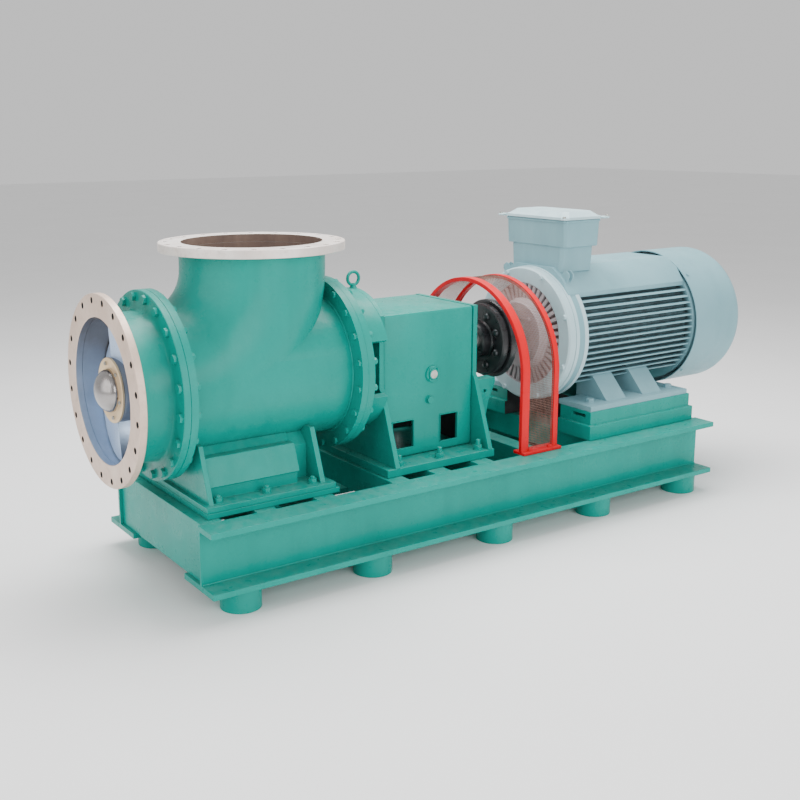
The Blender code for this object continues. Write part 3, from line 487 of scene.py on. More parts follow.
flangeSteel = turnedSteel("turned_flange_steel", (0.72, 0.57, 0.47), (0.60, 0.45, 0.36), 0.42, 1500.0, 0.35)
topFlangeSteel = turnedSteel("turned_top_flange_steel", (0.84, 0.79, 0.75), (0.74, 0.64, 0.58),
                             0.42, 1500.0, 0.5, neckAxis)
hubSideSteel = turnedSteel("dark_hub_steel", (0.16, 0.20, 0.28), (0.22, 0.25, 0.30), 0.38, 900.0, 0.6)
shaftSteel = turnedSteel("ground_shaft_steel", (0.62, 0.62, 0.62), (0.52, 0.50, 0.47), 0.28, 0.0)
hubSteel = turnedSteel("turned_hub_steel", (0.86, 0.66, 0.39), (0.72, 0.52, 0.30), 0.34, 2100.0, 0.6)
capSteel = turnedSteel("polished_cap_steel", (0.40, 0.39, 0.39), (0.33, 0.31, 0.30), 0.16, 2100.0)
passageWall, boreSteel, bladeSteel, couplingBlack = barePassage(), boredWall(), bladeMetal(), blackIron()

# black pin heads rubbed bright on their crowns
rubbedIron = mottled(
    "rubbed_pin_iron", (120, 3, 0.6), (0.35, 0.65), ((0.022, 0.027, 0.029), (0.075, 0.086, 0.090)),
    (420, 2, 0.5), (0.0002, 0.5), (0.24, 0.40), Metallic=0.6)
# galvanised wire gone brown in places
guardWire = mottled(
    "weathered_wire", (13, 5, 0.6), (0.38, 0.66), ((0.30, 0.17, 0.14), (0.170, 0.070, 0.052)),
    (500, 2, 0.5), (0.0002, 0.5), (0.45, 0.75), Metallic=0.45)
# plated fastener under thin overspray
platedSteel = mottled(
    "plated_fastener", (60, 4, 0.6), (0.35, 0.7), ((0.50, 0.50, 0.47), (0.36, 0.34, 0.29)),
    (300, 2, 0.5), (0.0002, 0.5), (0.30, 0.48), Metallic=0.9)
brass = mottled(
    "dull_brass", (70, 4, 0.6), (0.35, 0.7), ((0.62, 0.46, 0.20), (0.34, 0.25, 0.12)),
    (260, 3, 0.5), (0.0003, 0.5), (0.28, 0.50), Metallic=0.95)
# thick round glass with oil behind it and fine scratches
windowGlass = mottled(
    "oil_window_glass", (55, 3, 0.5), (0.3, 0.7), ((0.72, 0.74, 0.72), (0.50, 0.46, 0.36)),
    (700, 2, 0.5), (0.0001, 0.3), (0.05, 0.16), Transmission_Weight=0.25, IOR=1.5,
    Coat_Weight=0.8, Coat_Roughness=0.04)
# unlit hollow: behind the fan grille, in the bolt holes and in the housing's windows
hollowShade = mottled(
    "shaded_hollow", (25, 4, 0.6), (0.4, 0.75), ((0.020, 0.022, 0.024), (0.050, 0.052, 0.052)),
    (120, 3, 0.5), (0.0005, 0.5), (0.7, 0.9))

print("flanges")
flange = {"outer": 0.3225, "bore": 0.2446, "boltCircle": 0.300, "hole": 0.011, "count": 20, "edge": 0.0018,
          "inletEnd": 0.025, "outletStart": 0.431, "outletEnd": 0.461, "holeEdge": 0.0008}


def drilledFlange(start, end, steps=6):
    # one sector of the face is a grid between a bolt hole and the sector's own border:
    # point = hole rim + (border - hole rim) * s. The sector is then turned round the shaft
    outer, bore, edge, count, hole = named(flange, "outer bore edge count hole")
    boltCircle, holeEdge = flange["boltCircle"], flange["holeEdge"]
    half = turn / count / 2
    t = np.linspace(-half, half, steps + 1)
    r = np.linspace(outer - edge, bore + edge, 4)
    sides = ((r[0], t), (r, half), (r[-1], -t), (r[::-1], -half))
    border = np.concatenate([np.stack([radius * np.sin(a), radius * np.cos(a)], -1)[:-1]
                             for radius, a in sides])
    middle = np.array([0.0, boltCircle])
    direction = border - middle
    direction /= np.linalg.norm(direction, axis=1)[:, None]
    rim, wall = middle + direction * (hole + holeEdge), middle + direction * hole
    between = rim + (border - rim) * 0.4
    n = len(border)
    rings = [(start, border), (start, between), (start, rim), (start + holeEdge, wall),
             (end - holeEdge, wall), (end, rim), (end, between), (end, border)]
    points = np.concatenate([np.column_stack([np.full(n, x), flat]) for x, flat in rings])
    sector = (points, gridFaces(len(rings), n))
    face = copies(sector, np.zeros((count, 3)), [rollMatrix(a) for a in evenAngles(count)])
    rimProfile = [(start, outer - edge), (start + edge, outer), (end - edge, outer), (end, outer - edge)]
    boreProfile = [(start, bore + edge), (start + edge, bore), (end - edge / 3, bore), (end, bore + edge)]
    around = count * steps
    strips = [(turned(profile, around)[0] @ rollMatrix(half).T, gridFaces(4, around))
              for profile in (rimProfile, boreProfile)]
    return joined(face, *strips)


def inHole(across, up):
    # inside or on the rim of the nearest bolt hole, measured from that hole's middle
    spoke = turn / flange["count"]
    off = np.arctan2(across, up) % spoke - spoke / 2
    reach = np.hypot(across, up)
    return np.hypot(reach * np.cos(off) - flange["boltCircle"], reach * np.sin(off)) < flange["hole"] + 0.0004


inletFlange = makePiece("inlet_flange", drilledFlange(0.0, flange["inletEnd"]),
                        [flangeSteel, boreSteel, hollowShade], "suction_flange")
paintFaces(inletFlange, lambda p: (fromShaft(p) < flange["bore"] + 0.0022) & (p[:, 0] > 0.0012))
paintFaces(inletFlange, lambda p: inHole(p[:, 1], p[:, 2]), 2)
onNeck = moved(drilledFlange(flange["outletStart"], flange["outletEnd"]), (neckAxis, 0, 0), upright)
outletFlange = makePiece("outlet_flange", onNeck, [topFlangeSteel, passageWall, hollowShade],
                         "discharge_flange")
paintFaces(outletFlange, lambda p: np.hypot(p[:, 0] - neckAxis, p[:, 1]) < flange["bore"] + 0.0005)
paintFaces(outletFlange, lambda p: inHole(p[:, 1], p[:, 0] - neckAxis), 2)

print("spool and casing")
spool = {"pipe": 0.2535, "bore": 0.2435, "start": 0.0253, "flangeStart": 0.1473, "end": 0.1717,
         "outer": 0.3225, "edge": 0.002}
pipe, bore, outer, edge, start, flangeStart, end = named(spool, "pipe bore outer edge start flangeStart end")
inletSpool = makePiece("inlet_spool", turned([
    (end, outer - edge), (end - edge, outer), (flangeStart + edge, outer), (flangeStart, outer - edge),
    (flangeStart, pipe + 0.010), (flangeStart - 0.004, pipe + 0.004), (flangeStart - 0.010, pipe),
    (start + 0.010, pipe), (start + 0.004, pipe + 0.003), (start, pipe + 0.007),
    (start, bore), (0.060, bore), (end - 0.02, bore), (end, bore)], 128),
    [greenEnamel, boreSteel], "suction_spool")
paintFaces(inletSpool, lambda p: (fromShaft(p) < bore + 0.0005) | (p[:, 0] < start + 0.0002))

casing = {"passage": 0.2485, "bend": 0.370, "bendStart": 0.198, "neckTop": 0.4300, "neckRing": 0.2600,
          "bead": 0.2550, "frontBead": 0.1985, "rearBead": 0.8165, "neckBead": 0.4295}


def insidePassage(p):
    # inside when nearer than the passage's radius to the barrel's, the bend's or the neck's
    # own centre line
    x, y, z = p.T
    bend, radius = casing["bend"], casing["passage"]
    fromNeck = np.hypot(x - neckAxis, y)
    barrel = fromShaft(p) < radius
    bendDistance = np.hypot(x - casing["bendStart"], z - bend) - bend
    elbow = (np.hypot(bendDistance, y) < radius) & (z < bend) & (x > casing["bendStart"])
    topRing = (z > casing["neckTop"]) & (fromNeck < casing["neckRing"])
    return barrel | elbow | (fromNeck < radius) & (z >= bend) | topRing


dressNode("casing", 0.0, [greenEnamel, passageWall], sharp=30, inner=insidePassage)
jointBolts = [  # size, x, radius, count, way, seed and stud
    (0.0185, 0.1473, 0.300, 20, -1, 11, 0.0), (0.0165, 0.1970, 0.300, 20, 1, 12, 0.005),
    (0.0145, 0.8183, 0.2985, 20, -1, 13, 0.0), (0.0160, 0.8722, 0.2985, 20, 1, 14, 0.006)]
makePiece("joint_bolts", joined(*[fastenerRing(*row, washer=False) for row in jointBolts]))
beadSizes = (("frontBead", 0.0050, 3), ("rearBead", 0.0045, 5), ("neckBead", 0.0045, 6))
frontBead, rearBead, neckBead = (weldBead(circlePath(casing[k], casing["bead"], 260), size, seed)
                                 for k, size, seed in beadSizes)
makePiece("casing_weld_beads", joined(frontBead, rearBead, moved(neckBead, (neckAxis, 0, 0), upright)))

print("pump foot")
dressNode("pump_sole_plate", 0.003)
dressNode("pump_foot", sharp=25)
footBolts = [(x, side * 0.279, -0.3540) for x in (0.272, 0.452, 0.632) for side in (-1, 1)]
makePiece("pump_foot_bolts", fastenersAt(0.018, footBolts, seed=21, stud=0.008))

print("cover and lantern")
dressNode("rear_cover")
dressNode("lantern", sharp=25)
eye = {"x": 0.986, "ring": 0.0245, "wire": 0.0060, "height": 0.2963, "collar": 0.2625}
t = evenAngles(48, 0)
eyeRing = np.stack([eye["x"] + eye["ring"] * np.sin(t), 0 * t, eye["height"] + eye["ring"] * np.cos(t)], -1)
eyeCollar = turned([(0.016, 0.0060), (0.0125, 0.0085), (0.006, 0.0098), (0.0, 0.0150), (-0.0005, 0.0150)],
                   28, False)
eyeCollar = moved(eyeCollar, (eye["x"], 0, eye["collar"]), facing["+z"])
makePiece("lifting_eye_bolt", joined(sweptTube(eyeRing, eye["wire"], 14), eyeCollar), None, "lifting_eye")

print("rotor")
rotor = {"cap": 0.0725, "capTip": -0.0197, "capBase": 0.0300, "ring": 0.1090, "screws": 0.0905,
         "hub": 0.107, "hubStart": 0.0378, "hubEnd": 0.158, "blades": 2, "root": 0.100, "tip": 0.2372,
         "pitch": 0.20, "lead": 0.045, "leadAngle": 8, "wrap": (166, 174), "thick": 0.0115}
cap, capTip, capBase, ring = named(rotor, "cap capTip capBase ring")
ringFace = capBase - 0.0005
dome = [(capBase - (capBase - capTip) * math.sin(a), cap * math.cos(a)) for a in np.linspace(0, turn / 4, 15)]
dome[-1] = (capTip, 0.0006)
capShell = turned([(0.0372, 0.104), (0.0368, ring), (ringFace + 0.001, ring), (ringFace, ring - 0.001),
                   (ringFace, cap + 0.003), (capBase + 0.0005, cap + 0.001)] + dome, 72, False)
hubCap = makePiece("hub_cap_dome", capShell, [hubSteel, capSteel], "hub_cap", "rotor")
paintFaces(hubCap, lambda p: fromShaft(p) < cap + 0.0005)
socketScrew = turned([(0.0, 0.0062), (0.0055, 0.0062), (0.0065, 0.0055), (0.0065, 0.0032), (0.003, 0.0030),
                      (0.0028, 0.0004)], 18, False)
screwPlaces = aroundShaft(ringFace, rotor["screws"], evenAngles(6, 0.25))
makePiece("hub_cap_screws", copies(socketScrew, screwPlaces, [facing["-x"]] * 6), platedSteel, "", "rotor")


def bladeShell(index, radialSteps=16, chordSteps=72):
    # screw surface of one blade from its straight leading edge: angle a backwards, radius r
    # outwards, and x = lead + pitch * a / turn. The section is thick in the middle and thin at
    # both edges, thickness = t * sqrt(1 - u^2), with u from -1 to 1 across the chord
    part = np.linspace(0, 1, radialSteps)
    u = np.cos(np.linspace(math.pi, 0, chordSteps))
    radius = rotor["root"] + (rotor["tip"] - rotor["root"]) * part
    wrap = np.radians(rotor["wrap"][0] + (rotor["wrap"][1] - rotor["wrap"][0]) * part)
    angle = wrap[:, None] * (u[None, :] + 1) / 2
    thick = rotor["thick"] * (1.15 - 0.65 * part)[:, None] * np.sqrt(np.clip(1 - u**2, 0, 1))[None, :]
    lead = math.radians(rotor["leadAngle"]) + turn * index / rotor["blades"]
    sides = []
    for sign in (1, -1):
        x = rotor["lead"] + rotor["pitch"] * angle / turn + sign * thick / 2
        sides.append(np.stack([x, radius[:, None] * np.sin(lead - angle),
                               radius[:, None] * np.cos(lead - angle)], -1))
    loop = np.concatenate([sides[0], sides[1][:, -2:0:-1]], 1)
    return shellOf(loop)


hub, hubStart, hubEnd = named(rotor, "hub hubStart hubEnd")
hubShell = turned([(hubEnd, 0.046), (hubEnd, hub - 0.010), (hubEnd - 0.008, hub), (0.0450, hub),
                   (0.0400, hub - 0.003), (hubStart, hub - 0.006), (hubStart, 0.004)], 96, False)
blades = [bladeShell(k) for k in range(rotor["blades"])]
impellerWheel = makePiece("impeller_wheel", joined(hubShell, *blades), [bladeSteel, hubSideSteel],
                          "impeller", "rotor", sharp=40)
paintFaces(impellerWheel, lambda p: fromShaft(p) < hub + 0.0004)
for node in ("pump_shaft", "motor_shaft"):
    dressNode(node, 0.0015, shaftSteel, "rotor")

# two flanged halves: the pump's carries round headed pins, the motor's is a little larger
coupling = {"pumpOuter": 0.145, "motorOuter": 0.160, "pumpHub": 0.072, "motorHub": 0.085, "start": 1.560,
            "split": 1.630, "gap": 0.004, "flange": 0.028, "end": 1.730, "pins": 8, "pinCircle": 0.1055,
            "pumpBore": 0.0453, "motorBore": 0.0403}
front, back = (coupling["split"] + side * coupling["gap"] / 2 for side in (-1, 1))
frontFace, backFace = front - coupling["flange"], back + coupling["flange"]
start, outer, hub, bore = named(coupling, "start pumpOuter pumpHub pumpBore")
makePiece("coupling_driven_half", turned([
    (front, outer - 0.001), (front - 0.001, outer), (frontFace + 0.005, outer), (frontFace, outer - 0.006),
    (frontFace, 0.088), (frontFace + 0.003, 0.085), (frontFace + 0.003, hub + 0.005),
    (frontFace - 0.002, hub), (start + 0.004, hub), (start, hub - 0.004), (start, bore), (front, bore)], 96),
    couplingBlack, "coupling_pump_half", "rotor")
end, outer, hub, bore = named(coupling, "end motorOuter motorHub motorBore")
makePiece("coupling_driving_half", turned([
    (end, hub - 0.003), (end - 0.003, hub), (backFace + 0.008, hub), (backFace, hub + 0.010),
    (backFace, outer - 0.004), (backFace - 0.004, outer), (back + 0.004, outer), (back, outer - 0.004),
    (back, bore), (end, bore)], 96), couplingBlack, "coupling_motor_half", "rotor")
pins = coupling["pins"]
pinHead = turned([(0.0125, 0.0006), (0.0120, 0.0065), (0.0100, 0.0112), (0.0062, 0.0142), (0.0, 0.0152),
                  (-0.001, 0.0152)], 28, False)
pinPlaces = aroundShaft(frontFace, coupling["pinCircle"], evenAngles(pins))
makePiece("coupling_pins", copies(pinHead, pinPlaces, [facing["-x"]] * pins), rubbedIron, "", "rotor")

print("bearing housing")
housing = {"side": 0.185, "glass": (1.217, -0.061), "plug": (1.202, -0.158), "glassScrews": 0.0255,
           "windows": ((1.033, 1.131), (1.254, 1.339)), "windowHeights": (-0.330, -0.224), "lip": 0.0024,
           "seat": -0.110, "seatStart": 1.429, "hollow": (1.1975, 0.1995, 0.1715)}
dressNode("housing_base_plate", 0.003)
dressNode("housing_front_plate", 0.003)
dressNode("housing_rear_plate", 0.002, [greenEnamel, flangeSteel],
          inner=lambda p: (np.abs(p[:, 2] - housing["seat"]) < 0.001) & (p[:, 0] > housing["seatStart"]))
middle, halfLength, halfWidth = housing["hollow"]
dressNode("bearing_housing", 0.003, [greenEnamel, hollowShade], sharp=40,
          inner=lambda p: (np.abs(p[:, 0] - middle) < halfLength) & (np.abs(p[:, 1]) < halfWidth))
dressNode("bearing_cover")
gx, gz = housing["glass"]
onWall = (gx, -housing["side"] - 0.0003, gz)
glassBody = turned([(0.000, 0.032), (0.004, 0.032), (0.0065, 0.0295), (0.0065, 0.0215), (0.0115, 0.0205),
                    (0.0125, 0.0190), (0.0125, 0.0165), (0.0105, 0.0160), (0.010, 0.004)], 48, False)
makePiece("sight_glass_body", moved(glassBody, onWall, facing["-y"]), None, "sight_glass")
lens = turned([(0.0100, 0.0162), (0.0118, 0.0158), (0.0126, 0.0110), (0.0130, 0.0006)], 32, False)
makePiece("sight_glass_lens", moved(lens, onWall, facing["-y"]), windowGlass)
glassScrews = [(gx + housing["glassScrews"] * math.cos(a), -housing["side"] - 0.0083,
                gz + housing["glassScrews"] * math.sin(a)) for a in evenAngles(4)]
px, pz = housing["plug"]
makePiece("housing_plugs", joined(fastenersAt(0.005, glassScrews, "-y", washer=False),
                                  fastenersAt(0.017, [(px, -housing["side"], pz)], "-y")))
low, high = housing["windowHeights"]
lipShells = []
for y in (-housing["side"] - 0.0012, housing["side"] + 0.0012):
    for start, end in housing["windows"]:
        corners = [(start, y, low), (end, y, low), (end, y, high), (start, y, high)]
        loop = np.concatenate([line(a, b, 24)[:-1] for a, b in zip(corners, corners[1:] + corners[:1])])
        lipShells.append(sweptTube(loop, housing["lip"]))
makePiece("housing_window_lips", joined(*lipShells))
baseBolts = [(x, side * 0.262, -0.3640) for x in (1.010, 1.195, 1.380) for side in (-1, 1)]
makePiece("housing_bolts", joined(fastenersAt(0.020, baseBolts, seed=32, stud=0.022),
                                  fastenerRing(0.010, 1.462, 0.090, 6, 1, 31)))
breatherShell = turned([(0.034, 0.0006), (0.0335, 0.008), (0.031, 0.013), (0.026, 0.0145), (0.016, 0.0145),
                        (0.015, 0.009), (0.008, 0.009), (0.007, 0.013), (0.0, 0.013)], 28, False)
makePiece("breather_cap", moved(breatherShell, (1.050, 0.060, housing["side"] - 0.005), facing["+z"]), brass,
          "breather")

print("guard")
guard = {"start": 1.527, "end": 1.713, "radius": 0.345, "depth": 0.016, "frontBar": 0.036, "rearBar": 0.024,
         "centre": -0.088, "foot": -0.3817, "wire": 0.00045, "pitch": 0.0068, "railLow": -0.3937,
         "railTop": -0.3820}
outer, inner, foot = guard["radius"], guard["radius"] - guard["depth"], guard["foot"]
over, under = (aroundShaft(0, radius, np.linspace(-turn / 4, turn / 4, 72), guard["centre"])[:, 1:]
               for radius in (outer, inner))
arch = np.concatenate([[(-outer, foot)], over, [(outer, foot), (inner, foot)], under[::-1],
                       [(-inner, foot)]])
frontBarEnd, rearBarStart = guard["start"] + guard["frontBar"], guard["end"] - guard["rearBar"]
for name, start, end in (("front", guard["start"], frontBarEnd), ("rear", rearBarStart, guard["end"])):
    makePiece("guard_arch_" + name, extruded(arch, start, end), redEnamel, "guard_" + name + "_arch",
              bevel=0.0015)


def wovenSkin():
    # wires that run round the arch and wires that run along the shaft, woven over and under:
    # each wire's height above the skin = amplitude * cos(turn * place / (2 * pitch))
    r = guard["radius"] - 0.0040
    footGap = 0.004
    leg = guard["centre"] - guard["foot"] - footGap
    length = 2 * leg + math.pi * r

    def skin(distance, lift):
        # distance from the near foot along the arch, as a point on the arch plus its lift
        onNear, onFar = distance < leg, distance > leg + math.pi * r
        a = np.clip((distance - leg) / r, 0, math.pi) - math.pi / 2
        y = np.where(onNear, -(r + lift), np.where(onFar, r + lift, (r + lift) * np.sin(a)))
        z = np.where(onNear, guard["foot"] + footGap + distance, guard["centre"] + (r + lift) * np.cos(a))
        return y, np.where(onFar, guard["centre"] - (distance - leg - math.pi * r), z)

    longCount = int((rearBarStart - frontBarEnd) / guard["pitch"])
    crossCount = int(length / guard["pitch"])
    crossAt = (np.arange(crossCount) + 0.5) * length / crossCount
    longAt = frontBarEnd + (np.arange(longCount) + 0.5) * (rearBarStart - frontBarEnd) / longCount
    box = np.array([(-1, -1), (1, -1), (1, 1), (-1, 1)]) * guard["wire"]

    def wire(k, x, distance, alongX):
        # square wire number k, one point at each crossing, over the skin and under it by turns
        lift = guard["wire"] * np.where((np.arange(len(x)) + k) % 2, 0.8, -0.8)
        rows = [np.stack([x + dx * (not alongX), *skin(distance + dx * alongX, lift + dr)], -1)
                for dx, dr in box]
        return shellOf(np.stack(rows, 1))

    ends = np.concatenate([[frontBarEnd], longAt, [rearBarStart]])
    roundArch = [wire(k, np.full(crossCount, x), crossAt, False) for k, x in enumerate(longAt)]
    alongShaft = [wire(k, ends, np.full(len(ends), d), True) for k, d in enumerate(crossAt)]
    return joined(*roundArch, *alongShaft)


makePiece("guard_woven_wire", wovenSkin(), guardWire, "guard_mesh")
for side, name in ((-1, "near"), (1, "far")):
    y0, y1 = sorted((side * 0.299, side * 0.361))
    rail = roundedBox((guard["start"], y0, guard["railLow"]),
                      (guard["end"] + 0.010, y1, guard["railTop"]), 0.002)
    screws = fastenersAt(0.012, [(x, side * 0.349, guard["railTop"]) for x in (1.570, 1.670)])
    makePiece("guard_rail_" + name, joined(rail, screws), redEnamel, "guard_" + name + "_rail")

print("motor")
motor = {"radius": 0.277, "face": 1.800, "shieldEnd": 1.8657, "pocket": 0.016, "slots": (0.152, 0.207),
         "ribs": 44, "halfRib": 0.0072, "shaftHole": 0.0410, "cowl": 0.299, "cowlStart": 2.5603, "end": 2.875,
         "wall": 0.004, "rounding": 0.060, "grille": 0.205}
# the finned frame wears the enamel with painted shade between its fins
dressNode("motor_frame", 0.0015, shadedFinEnamel, sharp=25)
# the end shield: a bright wide rim, slots between short ribs inside it, and a disc round the shaft
face, shieldEnd, radius, hole = named(motor, "face shieldEnd radius shaftHole")
pocketFloor = shieldEnd - motor["pocket"]
slotIn, slotOut = motor["slots"]
shield = turned([
    (shieldEnd, radius), (shieldEnd - 0.030, radius), (shieldEnd - 0.036, radius - 0.006),
    (shieldEnd - 0.036, 0.254), (shieldEnd - 0.034, slotOut + 0.007), (shieldEnd - 0.030, slotOut + 0.002),
    (pocketFloor, slotOut), (pocketFloor, slotIn), (shieldEnd - 0.034, slotIn - 0.002), (face + 0.022, 0.146),
    (face + 0.016, 0.141), (face + 0.012, 0.136), (face + 0.002, 0.132), (face, 0.124), (face, 0.070),
    (face + 0.004, 0.067), (face + 0.004, hole), (shieldEnd, hole)], 112)
rib = extruded([(slotIn - 0.003, shieldEnd - 0.035), (slotOut + 0.004, shieldEnd - 0.033),
                (slotOut + 0.004, shieldEnd - 0.008), (slotIn - 0.003, shieldEnd - 0.008)],
               -motor["halfRib"], motor["halfRib"], True)
shieldBolts = [fastenerRing(0.012, shieldEnd - 0.036, 0.2650, 8, -1, 41),
               fastenerRing(0.010, face, 0.098, 4, -1, 42)]
motorShield = makePiece("motor_shield", joined(shield, rolled(rib, motor["ribs"]), *shieldBolts),
                        [shieldEnamel, pocketPrimer, paleEnamel], "motor_front_shield")
paintFaces(motorShield, lambda p: fromShaft(p) > slotOut + 0.0045, 2)
paintFaces(motorShield, lambda p: ((fromShaft(p) > slotIn - 0.0005) & (fromShaft(p) < slotOut + 0.0025)
                                   & (p[:, 0] > pocketFloor - 0.0005)))
inside = radius - 0.001
bands = [turned([(end, inside), (end, outer - 0.001), (end - 0.001, outer), (start + 0.001, outer),
                 (start, outer - 0.001), (start, inside)], 112)
         for start, end, outer in ((1.8665, 1.884, 0.2800), (1.914, 1.9345, 0.2790))]
makePiece("motor_frame_bands", joined(*bands), paleEnamel)

end, wall, cowl, cowlStart, grille = named(motor, "end wall cowl cowlStart grille")


def roundedEdge(inset, radius):
    # quarter circle from the cowl's side to its back: x = end - inset - radius (1 - sin a),
    # r = cowl - inset - radius (1 - cos a)
    return [(end - inset - radius * (1 - math.sin(a)), cowl - inset - radius * (1 - math.cos(a)))
            for a in np.linspace(0, turn / 4, 12)]


rounding = motor["rounding"]
cowlProfile = [(cowlStart, cowl), *roundedEdge(0.0, rounding), (end, grille), (end - wall, grille),
               *roundedEdge(wall, rounding - wall)[::-1], (cowlStart, cowl - wall)]
grilleRings = [sweptTube(circlePath(end - 0.004, r, 72), 0.0028, side=(1, 0, 0))
               for r in np.linspace(0.030, grille + 0.004, 13)]
spokeEnds = (aroundShaft(end - 0.009, r, evenAngles(8, 0)) for r in (0.012, 0.212))
spokes = [sweptTube(line(a, b, 6), 0.0036, 8, False, (1, 0, 0)) for a, b in zip(*spokeEnds)]
grilleHub = turned([(end - 0.002, 0.0006), (end - 0.002, 0.026), (end - 0.012, 0.026), (end - 0.012, 0.0006)],
                   36, False)
cowlScrews = copies(fastener(0.008), aroundShaft(cowlStart + 0.022, cowl, evenAngles(4)),
                    [rollMatrix(a) @ facing["+z"] for a in evenAngles(4)])
makePiece("motor_fan_cowl", joined(turned(cowlProfile, 112), *grilleRings, *spokes, grilleHub, cowlScrews),
          motorEnamel, "fan_cowl")
# rear shield in the fin enamel: inside the fins' radius it is darkened by painted shade
rearShield = [(2.640, 0.0006), (2.640, 0.060), (2.625, 0.120), (2.605, 0.225), (2.590, 0.278),
              (cowlStart, 0.280), (cowlStart, 0.0006)]
makePiece("motor_rear_shield", turned(rearShield, 72, False), shadedFinEnamel)
fanBlade = extruded([(0.070, 2.660), (0.190, 2.668), (0.190, 2.780), (0.070, 2.750)], -0.002, 0.002, True)
fanDisc = turned([(2.760, 0.0006), (2.760, 0.050), (2.690, 0.075), (2.662, 0.185), (2.654, 0.185),
                  (2.654, 0.0006)], 64, False)
makePiece("motor_cooling_fan", joined(rolled(fanBlade, 9), fanDisc), hollowShade, "", "rotor")

terminal = {"centre": 1.980, "bottom": 0.366, "top": 0.474, "lidTop": 0.507, "lugX": 0.110, "lugY": 0.186}
middle, top = terminal["centre"], terminal["top"]


def taperedBox(low, high, bottomSize, topSize, corner):
    # a box with cut corners whose outline grows from the bottom size to the top size
    rows = []
    for z, (halfX, halfY) in ((low, bottomSize), (high, topSize)):
        for sx, sy in ((1, 1), (-1, 1), (-1, -1), (1, -1)):
            pair = [(middle + sx * halfX, sy * (halfY - corner), z),
                    (middle + sx * (halfX - corner), sy * halfY, z)]
            rows += pair if sx * sy > 0 else pair[::-1]
    return shellOf(np.array(rows).reshape(2, 8, 3))


makePiece("terminal_box_body", joined(
    taperedBox(0.262, 0.372, (0.088, 0.148), (0.090, 0.154), 0.012),
    taperedBox(terminal["bottom"], top, (0.094, 0.176), (0.100, 0.177), 0.011),
    taperedBox(top - 0.010, top + 0.0005, (0.104, 0.181), (0.104, 0.181), 0.013)), motorEnamel,
    "terminal_box", bevel=0.004, sharp=20)
quarters = [(sx, sy) for sx in (-1, 1) for sy in (-1, 1)]
lugX, lugY = terminal["lugX"], terminal["lugY"]
lugs = [roundedBox((middle + sx * lugX - 0.017, sy * lugY - 0.013, top + 0.003),
                   (middle + sx * lugX + 0.017, sy * lugY + 0.013, top + 0.012), 0.004)
        for sx, sy in quarters]
lidRim = taperedBox(top + 0.002, top + 0.013, (0.108, 0.184), (0.107, 0.183), 0.018)
lidHip = taperedBox(top + 0.012, terminal["lidTop"], (0.104, 0.180), (0.078, 0.154), 0.020)
makePiece("terminal_box_lid", joined(lidRim, lidHip, *lugs), paleEnamel, "terminal_lid", bevel=0.003,
          sharp=18)
lugScrews = [(middle + sx * (lugX + 0.008), sy * (lugY + 0.003), top + 0.012) for sx, sy in quarters]
makePiece("terminal_screws", fastenersAt(0.008, lugScrews), platedSteel)
gland = turned([(0.0, 0.020), (0.008, 0.020), (0.009, 0.017), (0.018, 0.017), (0.022, 0.014), (0.022, 0.008)],
               24, False)
glands = [moved(gland, (middle + x, 0.170, 0.420), facing["+y"]) for x in (-0.030, 0.040)]
makePiece("cable_glands", joined(*glands), motorEnamel)
lugPlate = extruded([(-0.024, 0.262), (0.024, 0.262), (0.019, 0.320), (0.010, 0.330), (-0.010, 0.330),
                     (-0.019, 0.320)], -0.0025, 0.0025)
lugPlates = [moved(lugPlate, (x, 0, 0), rollMatrix(math.radians(side * 35)))
             for side in (-1, 1) for x in (1.892, 1.914)]
makePiece("motor_lifting_lugs", joined(*lugPlates), motorEnamel, bevel=0.001)
motorBolts = [(x, side * 0.268, -0.260) for x in (1.965, 2.430) for side in (-1, 1)]
makePiece("motor_foot_bolts", fastenersAt(0.020, motorBolts, seed=51), motorEnamel)

print("base")
base = {"stubs": (0.310, 0.835, 1.400, 1.925, 2.440), "stubRadius": 0.071, "stubPlace": 0.345,
        "under": -0.618, "web": 0.3515, "start": 0.172, "end": 2.533, "hollow": (1.961, 0.0755, 0.1655)}
middle, halfLength, halfWidth = base["hollow"]
dressNode("motor_pedestal", 0.003, [greenEnamel, hollowShade],
          inner=lambda p: (np.abs(p[:, 1]) < halfWidth) & (np.abs(p[:, 0] - middle) < halfLength))
for node in ("girder_near", "girder_far", "end_channel_front", "end_channel_rear",
             *("cross_member_" + str(k) for k in range(1, 9))):
    dressNode(node)
beads = []
for side in (-1, 1):
    for k, x in enumerate(base["stubs"]):
        bead = weldBead(circlePath(base["under"], base["stubRadius"], 90), 0.0045, 60 + k)
        beads.append(moved(bead, (x, side * base["stubPlace"], 0), upright))
    y = side * base["web"]
    for z, seed in ((-0.4155, 71), (-0.5955, 72)):
        beads.append(weldBead(line((base["start"], y, z), (base["end"], y, z), 700), 0.0035, seed, False))
makePiece("base_weld_beads", joined(*beads))

print("studio")
studio = {"world": 0.78, "key": 142.0, "fill": 56.0, "top": 350.0, "floor": 30.0}
scene = bpy.context.scene
n = Nodes("pale_studio_floor")
floorTone = n.mix(n.noise(1.2, 3, 0.5), (0.84, 0.84, 0.84), (0.90, 0.90, 0.90))
floorPaint = n.finish(floorTone, 0.7, n.bump(n.noise(180, 2, 0.5), 0.0003, 0.3))
half = studio["floor"]
floorMesh = bpy.data.meshes.new("studio_floor")
floorMesh.from_pydata([(-half, -half, 0), (half, -half, 0), (half, half, 0), (-half, half, 0)], [],
                      [(0, 1, 2, 3)])
floorMesh.materials.append(floorPaint)
floor = bpy.data.objects.new("studio_floor", floorMesh)
scene.collection.objects.link(floor)

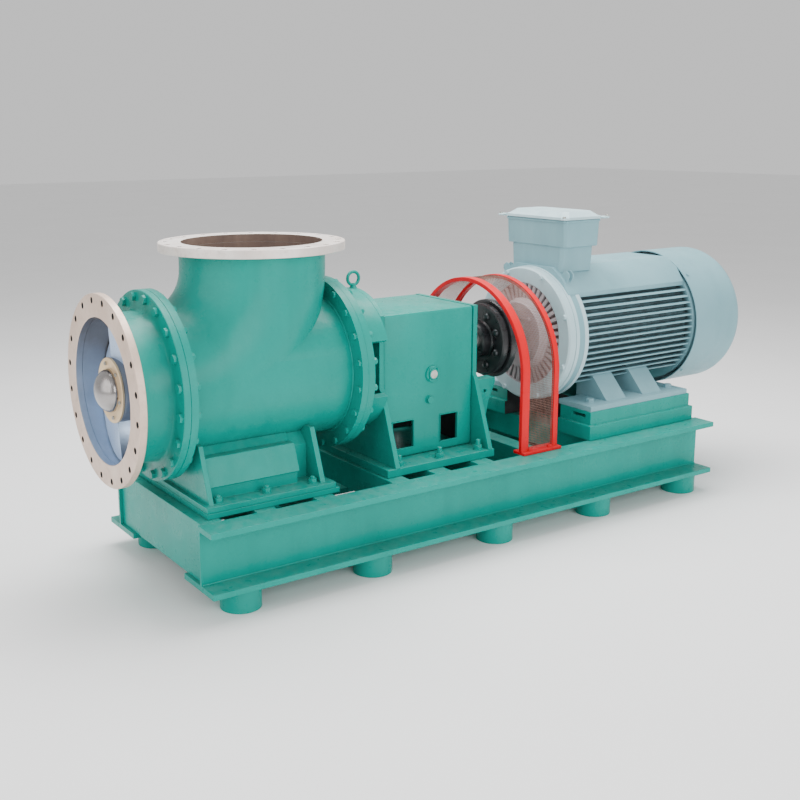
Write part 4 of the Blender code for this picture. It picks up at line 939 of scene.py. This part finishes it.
world = bpy.data.worlds.new("studio_world")
scene.world = world
world.use_nodes = True
sky = world.node_tree.nodes["Background"].inputs
sky["Color"].default_value, sky["Strength"].default_value = (1, 1, 1, 1), studio["world"]


def softLight(name, power, place, aim, width, height):
    data = bpy.data.lights.new(name, "AREA")
    data.shape, data.size, data.size_y, data.energy = "RECTANGLE", width, height, power
    lamp = bpy.data.objects.new(name, data)
    scene.collection.objects.link(lamp)
    lamp.location = place
    direction = np.array(aim, float) - np.array(place, float)
    yaw = math.atan2(direction[1], direction[0])
    tilt = math.atan2(math.hypot(direction[0], direction[1]), -direction[2])
    lamp.rotation_euler = (tilt, 0, yaw - math.pi / 2)


softLight("key_light", studio["key"], (-0.3, -4.6, 2.0), (0, 0, 0.4), 4.5, 2.2)
softLight("top_light", studio["top"], (0.3, 0.6, 4.2), (0, 0, 0.6), 4.0, 2.5)
softLight("fill_light", studio["fill"], (-4.0, -0.5, 1.8), (-0.8, 0, 0.6), 3.4, 2.8)

camera = {"azimuth": 33.57, "elevation": 12.38, "roll": 0.27, "place": (-1.2158, -3.3609, 0.8307),
          "lens": 49.15, "sensor": 36.0, "shift": (0.05, -0.0375)}
az, el, roll = np.radians(named(camera, "azimuth elevation roll"))
ahead = np.array([math.sin(az) * math.cos(el), math.cos(az) * math.cos(el), -math.sin(el)])
right = np.array([math.cos(az), -math.sin(az), 0.0])
down = np.cross(ahead, right)
right, down = (math.cos(roll) * right + math.sin(roll) * down,
               -math.sin(roll) * right + math.cos(roll) * down)
lensData = bpy.data.cameras.new("photo_camera")
lensData.sensor_width, lensData.lens = camera["sensor"], camera["lens"]
lensData.shift_x, lensData.shift_y = camera["shift"]
photoCamera = bpy.data.objects.new("photo_camera", lensData)
scene.collection.objects.link(photoCamera)
rows = np.stack([right, -down, -ahead, np.array(camera["place"]) + shaftLine], 1)
photoCamera.matrix_world = [list(row) for row in np.vstack([rows, [0, 0, 0, 1]]).T]
scene.camera = photoCamera

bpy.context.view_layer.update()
